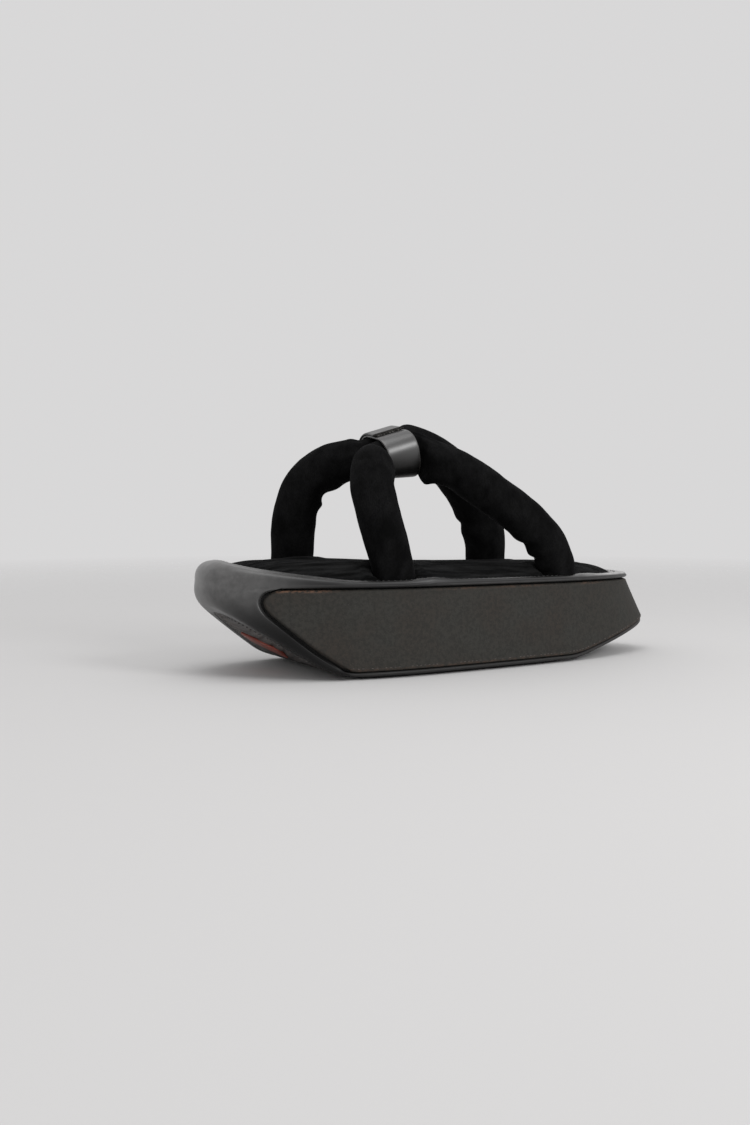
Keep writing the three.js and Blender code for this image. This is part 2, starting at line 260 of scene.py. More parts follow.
def new_piece(name: str, places: Array, faces: Array, finish: "Finish") -> bpy.types.Object:
    """Makes a smooth-shaded piece from places in mm, with poles merged.

    Args:
        name: the piece's name.
        places: a row of XYZ for each vertex.
        faces: four vertex numbers for each face.
        finish: what it is made of.

    Returns:
        The new object, at the origin.
    """
    mesh = bpy.data.meshes.new(name)
    mesh.from_pydata((places.reshape(-1, 3) * MM).tolist(), [], faces.tolist())
    work = bmesh.new()
    work.from_mesh(mesh)
    bmesh.ops.remove_doubles(work, verts=work.verts, dist=1e-6)
    bmesh.ops.dissolve_degenerate(work, edges=work.edges, dist=1e-7)
    work.to_mesh(mesh)
    work.free()
    mesh.validate()
    mesh.polygons.foreach_set("use_smooth", np.ones(len(mesh.polygons), bool))
    mesh.materials.append(finish.material())
    piece = bpy.data.objects.new(name, mesh)
    bpy.context.scene.collection.objects.link(piece)
    return piece


def vertex_places(piece: bpy.types.Object) -> Array:
    """Places of a piece's vertices.

    Args:
        piece: the piece to read.

    Returns:
        A row of XYZ in mm for each vertex.
    """
    places = np.empty(3 * len(piece.data.vertices), np.float32)
    piece.data.vertices.foreach_get("co", places)
    return places.reshape(-1, 3) / MM


def mark(piece: bpy.types.Object, name: str, values: Array) -> None:
    """Stores a number from 0 to 1 for each vertex, for the finish to read."""
    layer = piece.data.attributes.new(name, "FLOAT", "POINT")
    layer.data.foreach_set("value", np.clip(values, 0, 1).astype(np.float32))


def thicken(piece: bpy.types.Object, thickness: float) -> None:
    """Gives an open skin a wall, inwards from its faces.

    Args:
        piece: the skin.
        thickness: the wall's thickness in mm.
    """
    wall = piece.modifiers.new("wall", "SOLIDIFY")
    wall.thickness = thickness * MM
    wall.offset = -1.0


def seat(piece: bpy.types.Object, slot: str, *nodes: str) -> bpy.types.Object:
    """Rides a piece on the sandal, hides the solids that it stands for, and reports it.

    Args:
        piece: the finished piece.
        slot: not used.
        nodes: names of the solids that it replaces, if any.

    Returns:
        The same piece.
    """
    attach(piece, "root")
    if nodes:
        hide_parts(*nodes)
    LOG.info("%s: %d faces", piece.name, len(piece.data.polygons))
    return piece


# Finishes


class Graph:
    """A material's nodes, with short calls for those that the finishes use."""

    def __init__(self, name: str) -> None:
        """Starts a material with one shader.

        Args:
            name: the material's name.
        """
        self.material = bpy.data.materials.new(name)
        self.material.use_nodes = True
        self.tree = self.material.node_tree
        self.shader = self.tree.nodes["Principled BSDF"]
        self.coords = self.tree.nodes.new("ShaderNodeTexCoord").outputs["Object"]

    def set(self, **values: float | tuple) -> None:
        """Sets the shader's own sockets, with underscores for the spaces in their names."""
        for name, value in values.items():
            self.shader.inputs[name.replace("_", " ")].default_value = value

    def link(self, source: Socket, name: str) -> None:
        """Joins a socket to one of the shader's inputs."""
        self.tree.links.new(source, self.shader.inputs[name])

    def _node(self, kind: str, sources: dict[str, Socket], **values: float | tuple) -> bpy.types.Node:
        """Adds a node, joins its sources and sets its other inputs.

        Args:
            kind: the node's type.
            sources: sockets by input.
            values: plain values by input name.

        Returns:
            The node.
        """
        node = self.tree.nodes.new(kind)
        for name, source in sources.items():
            self.tree.links.new(source, node.inputs[name])
        for name, value in values.items():
            node.inputs[name.replace("_", " ")].default_value = value
        return node

    def _placed(self, stretch: Triple) -> Socket:
        """Object coordinates in units of a pattern's size in mm along each axis."""
        scale = tuple(1.0 / (size * MM) for size in stretch)
        return self._node("ShaderNodeMapping", {"Vector": self.coords}, Scale=scale).outputs["Vector"]

    def noise(self, stretch: Triple, detail: float = 3.0, fine: float = 0.55) -> Socket:
        """Noise of a size in mm along each axis.

        Args:
            stretch: size of a blob along X, Y and Z.
            detail: octaves.
            fine: weight of the finer octaves.

        Returns:
            A value around 0.5.
        """
        source = {"Vector": self._placed(stretch)}
        node = self._node("ShaderNodeTexNoise", source, Scale=1.0, Detail=detail, Roughness=fine)
        return node.outputs["Fac"]

    def cells(self, size: float) -> Socket:
        """Distance to the nearest of random points spaced by a size in mm."""
        node = self._node("ShaderNodeTexVoronoi", {"Vector": self._placed((size,) * 3)}, Scale=1.0)
        return node.outputs["Distance"]

    def attribute(self, name: str) -> Socket:
        """A number that the mesh holds for each vertex.

        Args:
            name: the attribute's name.

        Returns:
            The number, or 0 on a mesh without it.
        """
        node = self.tree.nodes.new("ShaderNodeAttribute")
        node.attribute_name = name
        return node.outputs["Fac"]

    def ranged(
        self, value: Socket, low: float, high: float, start: float = 0.0, end: float = 1.0
    ) -> Socket:
        """Maps a value straight from one range to another, clamped.

        Args:
            value: the value to map.
            low: the value that gives the start.
            high: the value that gives the end.
            start: the result at low.
            end: the result at high.

        Returns:
            The mapped value.
        """
        ranges = {"From_Min": low, "From_Max": high, "To_Min": start, "To_Max": end}
        return self._node("ShaderNodeMapRange", {"Value": value}, **ranges).outputs["Result"]

    def product(self, first: Socket, second: Socket) -> Socket:
        """Product of two values.

        Args:
            first: one value.
            second: the other value.

        Returns:
            The product.
        """
        node = self.tree.nodes.new("ShaderNodeMath")
        node.operation = "MULTIPLY"
        for socket, factor in zip(node.inputs, (first, second)):
            self.tree.links.new(factor, socket)
        return node.outputs[0]

    def blend(self, share: Socket, first: Socket | tuple, second: Socket | tuple) -> Socket:
        """Mixes two colours by a share.

        Args:
            share: 0 for the first, 1 for the second.
            first: a colour or a socket.
            second: a colour or a socket.

        Returns:
            The mixed colour.
        """
        node = self.tree.nodes.new("ShaderNodeMix")
        node.data_type = "RGBA"
        self.tree.links.new(share, node.inputs["Factor"])
        for socket, colour in zip((node.inputs[6], node.inputs[7]), (first, second)):
            if isinstance(colour, tuple):
                socket.default_value = (*colour, 1.0)
            else:
                self.tree.links.new(colour, socket)
        return node.outputs[2]

    def bump(self, height: Socket, depth: float, under: Socket | None = None) -> Socket:
        """Normal tilted by a height.

        Args:
            height: relief from 0 to 1.
            depth: its depth in mm.
            under: a coarser relief's normal below this one.

        Returns:
            The tilted normal.
        """
        node = self._node("ShaderNodeBump", {"Height": height}, Strength=1.0, Distance=depth * MM)
        if under is not None:
            self.tree.links.new(under, node.inputs["Normal"])
        return node.outputs["Normal"]


@dataclass(frozen=True)
class Finish:
    """What a piece is made of; a finish with the same name is made once."""

    name: str
    colour: Triple

    def material(self) -> bpy.types.Material:
        """The material of this finish."""
        made = bpy.data.materials.get(self.name)
        return made if made else self._build(Graph(self.name))

    def _build(self, graph: Graph) -> bpy.types.Material:
        """Wires the nodes of this finish."""
        raise NotImplementedError


@dataclass(frozen=True)
class SmoothLeather(Finish):
    """Finished leather: fine pores, soft creases, cloudy gloss, and pale and dark marks from the mesh:
    rubbed cut edges, painted highlights and painted shade.
    """

    worn_and_highlit: Triple = (0.16, 0.155, 0.15)
    roughness: float = 0.42
    specular: float = 0.16
    coat: float = 0.9
    coat_roughness: float = 0.36
    coat_ior: float = 1.5
    pore: float = 0.7
    pore_depth: float = 0.02
    crease_depth: float = 0.06

    def _build(self, graph: Graph) -> bpy.types.Material:
        """Clouds the colour, lays the pale marks (rubbed edges and painted highlights) and the painted
        shade, and embosses pores over creases.

        Args:
            graph: the material's nodes.

        Returns:
            The wired material.
        """
        cloud = graph.noise((24.0, 30.0, 18.0), 4.0)
        deep = tuple(0.72 * value for value in self.colour)
        pale = tuple(1.22 * value for value in self.colour)
        tone = graph.blend(graph.ranged(cloud, 0.32, 0.68), deep, pale)
        # Painted shade: where the mesh marks it, the colour darkens towards half and the coat is taken off.
        shaded_tone = tuple(0.5 * value for value in self.colour)
        painted_shade = graph.attribute("painted_shade")
        tone = graph.blend(painted_shade, tone, shaded_tone)
        patchy = graph.noise((6.0, 9.0, 6.0), 5.0, 0.65)
        # Pale marks, broken up: rubbed cut edges on the keeper, painted highlights on the cover.
        wear_and_painted_light = graph.product(graph.attribute("wear_and_painted_light"), graph.ranged(patchy, 0.25, 0.65, 0.35, 1.0))
        graph.link(graph.blend(wear_and_painted_light, tone, self.worn_and_highlit), "Base Color")
        gloss = graph.noise((9.0, 12.0, 9.0), 3.0)
        least, most = self.roughness - 0.07, self.roughness + 0.1
        graph.link(graph.ranged(gloss, 0.3, 0.7, least, most), "Roughness")
        crease = graph.bump(graph.noise((5.0, 8.0, 5.0), 3.0), self.crease_depth)
        graph.link(graph.bump(graph.cells(self.pore), self.pore_depth, crease), "Normal")
        graph.link(graph.ranged(painted_shade, 0.0, 1.0, self.coat, 0.0), "Coat Weight")
        graph.set(Specular_IOR_Level=self.specular)
        graph.set(Coat_Roughness=self.coat_roughness, Coat_IOR=self.coat_ior)
        return graph.material


@dataclass(frozen=True)
class MattePanel(Finish):
    """Matte panel leather: brown clouds, pale specks, and copper scuffs where the mesh says so, with a
    painted edge highlight along the foot and the heel's back.
    """

    brown: Triple = (0.042, 0.036, 0.031)
    speck: Triple = (0.08, 0.072, 0.063)
    scuff_and_highlight: Triple = (0.21, 0.115, 0.075)

    def _build(self, graph: Graph) -> bpy.types.Material:
        """Lays clouds, specks and scuffs over the colour, the scuffs standing also for a painted edge
        highlight on the foot and the heel's back, and a dry grain over the surface.

        Args:
            graph: the material's nodes.

        Returns:
            The wired material.
        """
        cloud = graph.noise((45.0, 34.0, 26.0), 4.0)
        tone = graph.blend(graph.ranged(cloud, 0.4, 0.66), self.colour, self.brown)
        mottle = graph.noise((2.2, 2.2, 2.2), 5.0, 0.7)
        shade = tuple(0.6 * value for value in self.colour)
        tone = graph.blend(graph.ranged(mottle, 0.58, 0.4, 0.0, 0.75), tone, shade)
        speckle = graph.noise((0.7, 0.7, 0.7), 2.0, 0.5)
        tone = graph.blend(graph.ranged(speckle, 0.68, 0.76, 0.0, 0.5), tone, self.speck)
        broken = graph.noise((1.6, 2.6, 0.9), 3.0, 0.6)
        scuffed_and_highlit = graph.product(graph.attribute("wear_and_painted_light"), graph.ranged(broken, 0.42, 0.58))
        graph.link(graph.blend(scuffed_and_highlit, tone, self.scuff_and_highlight), "Base Color")
        graph.link(graph.ranged(mottle, 0.3, 0.7, 0.6, 0.82), "Roughness")
        coarse = graph.bump(graph.noise((7.0, 7.0, 7.0), 3.0), 0.18)
        graph.link(graph.bump(graph.cells(0.8), 0.07, coarse), "Normal")
        graph.set(Specular_IOR_Level=0.15)
        return graph.material


@dataclass(frozen=True)
class Napped(Finish):
    """Suede or velour: brushed patches of nap, soft sheen and a fibre bump."""

    brushed: Triple = (0.03, 0.03, 0.03)
    sheen: float = 0.25
    fibre: Triple = (0.35, 0.35, 1.1)
    patch: Triple = (9.0, 9.0, 14.0)

    def _build(self, graph: Graph) -> bpy.types.Material:
        """Brushes patches over the colour, and raises the fibres and a dry crumple.

        Args:
            graph: the material's nodes.

        Returns:
            The wired material.
        """
        patches = graph.noise(self.patch, 5.0, 0.6)
        fibres = graph.noise(self.fibre, 3.0, 0.7)
        tone = graph.blend(graph.ranged(patches, 0.38, 0.66), self.colour, self.brushed)
        dark = tuple(0.5 * value for value in self.colour)
        graph.link(graph.blend(graph.ranged(fibres, 0.62, 0.36, 0.0, 0.7), tone, dark), "Base Color")
        crumple = graph.bump(graph.noise((4.0, 4.0, 6.0), 4.0, 0.6), 0.3)
        graph.link(graph.bump(fibres, 0.16, crumple), "Normal")
        graph.set(Roughness=0.95, Specular_IOR_Level=0.02)
        graph.set(Sheen_Weight=self.sheen, Sheen_Roughness=0.3, Sheen_Tint=(0.75, 0.75, 0.78, 1.0))
        return graph.material


@dataclass(frozen=True)
class Rubber(Finish):
    """Moulded rubber, dusted in soft clouds and where the mesh marks it."""

    dust: Triple = (0.1, 0.095, 0.09)
    roughness: float = 0.6

    def _build(self, graph: Graph) -> bpy.types.Material:
        """Dusts the colour and stipples the surface.

        Args:
            graph: the material's nodes.

        Returns:
            The wired material.
        """
        clouds = graph.noise((14.0, 14.0, 14.0), 5.0, 0.6)
        tone = graph.blend(graph.ranged(clouds, 0.45, 0.75, 0.0, 0.12), self.colour, self.dust)
        worn_and_highlit = graph.product(graph.attribute("wear_and_painted_light"), graph.ranged(clouds, 0.35, 0.6))
        graph.link(graph.blend(worn_and_highlit, tone, self.dust), "Base Color")
        least, most = self.roughness - 0.1, self.roughness + 0.15
        graph.link(graph.ranged(clouds, 0.3, 0.7, least, most), "Roughness")
        graph.link(graph.bump(graph.noise((0.8, 0.8, 0.8), 2.0), 0.08), "Normal")
        return graph.material


@dataclass(frozen=True)
class Thread(Finish):
    """Twisted sewing thread."""

    def _build(self, graph: Graph) -> bpy.types.Material:
        """Varies the colour stitch by stitch and roughens the surface.

        Args:
            graph: the material's nodes.

        Returns:
            The wired material.
        """
        tone = graph.noise((3.0, 3.0, 3.0), 2.0)
        dark = tuple(0.45 * value for value in self.colour)
        graph.link(graph.blend(graph.ranged(tone, 0.35, 0.6), dark, self.colour), "Base Color")
        graph.link(graph.bump(graph.noise((0.25, 0.25, 0.25), 2.0), 0.08), "Normal")
        graph.set(Roughness=0.75, Sheen_Weight=0.2)
        return graph.material


@dataclass(frozen=True)
class Paper(Finish):
    """Backdrop paper that turns clear with distance."""

    fade: tuple[float, float] = (600.0, 2000.0)

    def _build(self, graph: Graph) -> bpy.types.Material:
        """Sets the colour, and fades the alpha by distance from the middle.

        Args:
            graph: the material's nodes.

        Returns:
            The wired material.
        """
        graph.set(Base_Color=(*self.colour, 1.0), Roughness=0.9, Specular_IOR_Level=0.1)
        length = graph.tree.nodes.new("ShaderNodeVectorMath")
        length.operation = "LENGTH"
        graph.tree.links.new(graph.coords, length.inputs[0])
        near, far = (size * MM for size in self.fade)
        graph.link(graph.ranged(length.outputs["Value"], near, far, 1.0, 0.0), "Alpha")
        return graph.material


# The cover's pale colour paints the highlights on its lip, nose and heel rim.
COVER_LEATHER = SmoothLeather("cover_hide", (0.017, 0.0168, 0.017), worn_and_highlit=(0.42, 0.413, 0.408))
KEEPER_LEATHER = SmoothLeather(
    "keeper_hide",
    (0.012, 0.0114, 0.0112),
    worn_and_highlit=(0.07, 0.066, 0.063),
    roughness=0.36,
    specular=0.3,
    coat=1.0,
    coat_roughness=0.38,
    coat_ior=1.75,
    pore=0.5,
    pore_depth=0.01,
    crease_depth=0.03,
)
PATCH_LEATHER = SmoothLeather(
    "patch_hide", (0.27, 0.062, 0.042), worn_and_highlit=(0.3, 0.1, 0.07), roughness=0.6, specular=0.4, coat=0.15
)
RAW_LEATHER = Napped(
    "raw_edge", (0.008, 0.0078, 0.0075), brushed=(0.09, 0.086, 0.082), patch=(0.8, 1.2, 0.8), sheen=0.01
)
PANEL_LEATHER = MattePanel("panel_hide", (0.041, 0.04, 0.036))
STRAP_VELOUR = Napped(
    "strap_nap", (0.0048, 0.0048, 0.0049), brushed=(0.0125, 0.0125, 0.0128), sheen=0.03
)
BED_SUEDE = Napped(
    "bed_nap",
    (0.004, 0.0041, 0.0041),
    brushed=(0.026, 0.0263, 0.0267),
    patch=(3.0, 34.0, 3.0),
    sheen=0.02,
)
OUTSOLE_RUBBER = Rubber("sole_rubber", (0.014, 0.0138, 0.0135), dust=(0.085, 0.075, 0.07))
CORE_FOAM = Rubber("core_foam", (0.006, 0.006, 0.006), roughness=0.9)
PALE_THREAD = Thread("pale_thread", (0.2, 0.19, 0.18))
RIM_THREAD = Thread("rim_thread", (0.09, 0.087, 0.084))
DARK_THREAD = Thread("dark_thread", (0.03, 0.029, 0.028))
COPPER_THREAD = Thread("copper_thread", (0.09, 0.076, 0.065))


# The form of the sole, that its pieces share


@dataclass(frozen=True)
class Rocker:
    """A rise of the underside: level, a blend, then a straight slope."""

    start: float
    slope: float
    blend: float

    def rise(self, past: Array) -> Array:
        """Height gained past the start: by the square of the way in the blend, then in a straight line.

        Args:
            past: distances past the start.

        Returns:
            The height gained at each.
        """
        bent = self.slope * past * past / (2 * self.blend)
        straight = self.slope * (past - self.blend / 2)
        return np.where(past <= 0, 0.0, np.where(past < self.blend, bent, straight))


@dataclass(frozen=True)
class Facing:
    """A size that changes from the sides to the toe and the heel."""

    side: float
    toe: float
    heel: float

    def towards(self, out_y: Array) -> Array:
        """The size of a wall that faces a way, by the Y part of its outward direction."""
        ahead, behind = np.maximum(0, out_y) ** 2, np.maximum(0, -out_y) ** 2
        return self.side + (self.toe - self.side) * ahead + (self.heel - self.side) * behind


@dataclass
class Wall:
    """The wall at places of the outline, as arrays of the sizes that its section is drawn from."""

    x: Array
    y: Array
    out_x: Array
    out_y: Array
    flare: Array
    radius: Array
    rim_radius: Array
    centre: Array
    lean: Array
    centre_z: Array
    top_z: Array
    toe_share: Array

    def place(self, offset: Array, z: Array) -> Array:
        """Places at distances out from the outline, at heights."""
        x, y = self.x + self.out_x * offset, self.y + self.out_y * offset
        return np.stack([x, y, z + 0 * self.x], axis=-1)

    def foot(self, share: Array) -> tuple[Array, Array]:
        """Offset and height on the rounded foot: an arc from the underside up to the wall."""
        turn = (math.pi / 2 - self.lean) * (1 - share)
        return self.centre + self.radius * np.cos(turn), self.centre_z - self.radius * np.sin(turn)

    def face(self, z: Array) -> Array:
        """Offset of the leaning wall: straight, eased in under the rim, and rounded over at the top.

        Args:
            z: heights.

        Returns:
            Distances out from the outline.
        """
        top = self.top_z - self.rim_radius
        over = np.clip((z - top) / self.rim_radius, 0.0, 1.0)
        straight = np.clip((top - z) / (top - self.centre_z), 0.0, 1.0)
        bent = np.where(straight < EASE, straight**2 / (2 * EASE), straight - EASE / 2) / (1 - EASE / 2)
        lean = self.flare * mix(bent, smooth_step(0, 1, straight), self.toe_share)
        return lean + self.rim_radius * (np.sqrt(1 - over * over) - 1)


@dataclass(frozen=True)
class SoleForm:
    """Plan and heights of the sole."""

    heel_y: float = -133.75
    toe_y: float = 146.25
    roundness: float = 2.5
    half_widths: tuple[Triple, ...] = (
        (-133.75, 42.0, 40.0),
        (-90.0, 44.0, 42.0),
        (-40.0, 46.0, 43.5),
        (12.0, 49.5, 46.0),
        (57.0, 52.4, 52.7),
        (92.0, 52.0, 53.2),
        (146.25, 48.0, 51.0),
    )
    deck_height: float = 47.6
    deck_slope: float = 0.0097
    rim_stand: float = 3.2
    toe_spring: float = 10.0
    spring_start: float = 60.0
    pad_depth: float = 1.6
    toe_rocker: Rocker = Rocker(75.5, 0.67, 24.0)
    heel_rocker: Rocker = Rocker(-64.5, 0.235, 16.0)
    flare: Facing = Facing(3.0, 0.0, 13.0)
    rim_width: Facing = Facing(6.0, 14.0, 11.0)
    foot_radius: tuple[float, float] = (1.5, 12.0)
    least_radius: float = 0.4
    rim_radius: Facing = Facing(1.8, 9.8, 1.8)
    toe_rounding: tuple[float, float] = (82.0, 142.0)
    sheet_thickness: float = 2.4
    sheet_inset: float = 0.8
    wrap_under: float = 5.0
    wrap_taper: tuple[float, float] = (79.0, 94.0)
    pad_heel_y: float = -49.5
    pad_toe_y: float = 74.0
    tuck: tuple[float, float] = (70.0, 81.0)

    def deck(self, y: Array) -> Array:
        """Height of the deck under the footbed: a straight slope."""
        return self.deck_height + self.deck_slope * y

    def rim(self, y: Array) -> Array:
        """Height of the rim: above the deck, springing up to the toe by the square of the way there."""
        spring = np.maximum(0, (y - self.spring_start) / (self.toe_y - self.spring_start))
        return self.deck(y) + self.rim_stand + self.toe_spring * spring * spring

    def bottom(self, y: Array) -> Array:
        """Height of the underside: level between the two rockers."""
        toe, heel = self.toe_rocker, self.heel_rocker
        return self.pad_depth + toe.rise(y - toe.start) + heel.rise(heel.start - y)

    def lean(self, y: Array) -> Array:
        """Slope of the underside, as an angle."""
        return np.arctan(self.bottom(y + 0.5) - self.bottom(y - 0.5))

    def plan(self, angle: Array) -> tuple[Array, Array]:
        """The rim's outline: a rounded oblong in Y, as wide as the table says on each side.

        Args:
            angle: 0 at the toe, growing by the lateral side to pi at the heel.

        Returns:
            X and Y of the outline.
        """
        power = 2 / self.roundness
        half = (self.toe_y - self.heel_y) / 2
        y = self.heel_y + half + half * signed_power(np.cos(angle), power)
        sideways = signed_power(np.sin(angle), power)
        rows = np.array(self.half_widths)
        lateral = hermite(rows, Column.LATERAL.value, y)
        medial = hermite(rows, Column.MEDIAL.value, y)
        return -np.where(sideways > 0, lateral, medial) * sideways, y

    def wall(self, angle: Array, inset: float = 0.0, lift: float = 0.0) -> Wall:
        """The wall at angles of the outline, drawn in by an inset and lifted off the underside.

        Args:
            angle: places round the outline.
            inset: distance in from the outer wall.
            lift: distance up from the underside.

        Returns:
            The wall's sizes there.
        """
        nudge = 1e-3
        x, y = self.plan(angle)
        ahead, behind = np.stack(self.plan(angle + nudge), -1), np.stack(self.plan(angle - nudge), -1)
        run = unit(ahead - behind)
        out_x, out_y = run[..., 1], -run[..., 0]
        flare = self.flare.towards(out_y)
        toe_share = smooth_step(*self.toe_rounding, y)
        radius = np.maximum(mix(*self.foot_radius, toe_share) - inset, self.least_radius)
        centre = flare - inset - radius
        slope = self.lean(y + out_y * centre)
        lean = np.arctan(np.tan(slope) * out_y)
        centre_z = self.bottom(y + out_y * centre) + lift / np.cos(slope) + radius / np.cos(lean)
        rim_radius = self.rim_radius.towards(out_y)
        top_z = self.rim(y)
        sizes = (flare, radius, rim_radius, centre, lean, centre_z, top_z, toe_share)
        return Wall(x, y, out_x, out_y, *sizes)

    def in_bed(self, x: Array, y: Array) -> Array:
        """Whether places lie within the bed: a rounded oblong drawn in by the rim's widths.

        Args:
            x: places across.
            y: places along.

        Returns:
            True for each place within.
        """
        heel, toe = self.heel_y + self.rim_width.heel, self.toe_y - self.rim_width.toe
        rows = np.array(self.half_widths)
        column = [hermite(rows, side.value, y) for side in Column]
        width = np.where(x < 0, *column) - self.rim_width.side
        along = (2 * y - heel - toe) / (toe - heel)
        return np.abs(x / width) ** self.roundness + np.abs(along) ** self.roundness < 1

    def rim_span(self, wall: Wall) -> Array:
        """Width of the rim square to the outline, by halving the way to the bed.

        Args:
            wall: places of the outline.

        Returns:
            The width at each.
        """
        low, high = np.full(wall.x.shape, 2.0), np.full(wall.x.shape, 26.0)
        for _ in range(30):
            middle = (low + high) / 2
            inside = self.in_bed(wall.x - wall.out_x * middle, wall.y - wall.out_y * middle)
            low, high = np.where(inside, low, middle), np.where(inside, middle, high)
        return high

    def wrap_reach(self, y: Array) -> Array:
        """How far the leather reaches in under the toe, tapering to nothing at its two tails."""
        return self.wrap_under * smooth_step(*self.wrap_taper, y)

    def sheet_edge(self, angle: Array, grow: float = 0.0) -> tuple[Array, Array]:
        """Edge of the rubber sheet: near the wall's foot, and tucked in behind the leather at the toe.

        Args:
            angle: places round the outline.
            grow: distance out past the edge.

        Returns:
            X and Y of the edge.
        """
        wall = self.wall(angle)
        tucked = wall.foot(np.zeros_like(angle))[0] - self.wrap_reach(wall.y) - GAP
        share = smooth_step(*self.tuck, wall.y)
        offset = mix(wall.flare - self.sheet_inset, tucked, share) + grow
        return wall.x + wall.out_x * offset, wall.y + wall.out_y * offset


FORM = SoleForm()


# Stitches


@dataclass(frozen=True)
class StitchRow:
    """A row of stitches along a line: each is a short thread that dips at both ends."""

    pitch: float = 3.4
    share: float = 0.74
    radius: float = 0.42
    sink: float = 0.05
    lengthwise: int = 6
    sides: int = 6

    def build(
        self, name: str, line: Array, normal: Array, finish: Finish, skip: float = 0.0
    ) -> bpy.types.Object:
        """Lays the stitches: tubes with round ends, bent down by the fourth power of the way to an end.

        Args:
            name: the piece's name.
            line: places along the line.
            normal: the way out of the surface at each place.
            finish: the thread.
            skip: share of the stitches left out, picked by a seeded draw.

        Returns:
            The joined stitches.
        """
        way = np.concatenate([[0], np.cumsum(np.linalg.norm(np.diff(line, axis=0), axis=1))])
        middle = np.arange(self.pitch / 2, way[-1] - self.pitch / 2, self.pitch)
        draw = np.random.default_rng(7).uniform(size=(3, len(middle)))
        keep = draw[0] >= skip
        middle = (middle + (draw[1] - 0.5) * 0.1 * self.pitch)[keep]
        long = self.pitch * self.share * (0.9 + 0.2 * draw[2][keep])
        along = np.sin(np.linspace(-math.pi / 2, math.pi / 2, self.lengthwise + 1))
        at = middle[:, None] + long[:, None] / 2 * along
        centre = np.stack([np.interp(at, way, axis) for axis in line.T], axis=-1)
        up = unit(np.stack([np.interp(at, way, axis) for axis in normal.T], axis=-1))
        across = unit(np.cross(np.gradient(centre, axis=1), up))
        turn = np.arange(self.sides) / self.sides * 2 * math.pi
        girth = self.radius * np.sqrt(np.maximum(1 - along**2, 0.0))
        drop = -self.sink - self.radius * along**4
        ring = np.cos(turn)[:, None] * across[:, :, None] + np.sin(turn)[:, None] * up[:, :, None]
        places = (centre + drop[:, None] * up)[:, :, None] + girth[:, None, None] * ring
        index = np.arange(places[..., 0].size).reshape(places.shape[:3])
        lower, upper = index[:, :-1], index[:, 1:]
        turned = [lower, upper, np.roll(upper, -1, 2), np.roll(lower, -1, 2)]
        faces = np.stack(turned, axis=-1).reshape(-1, 4)
        return new_piece(name, places, faces, finish)


# Leather cover


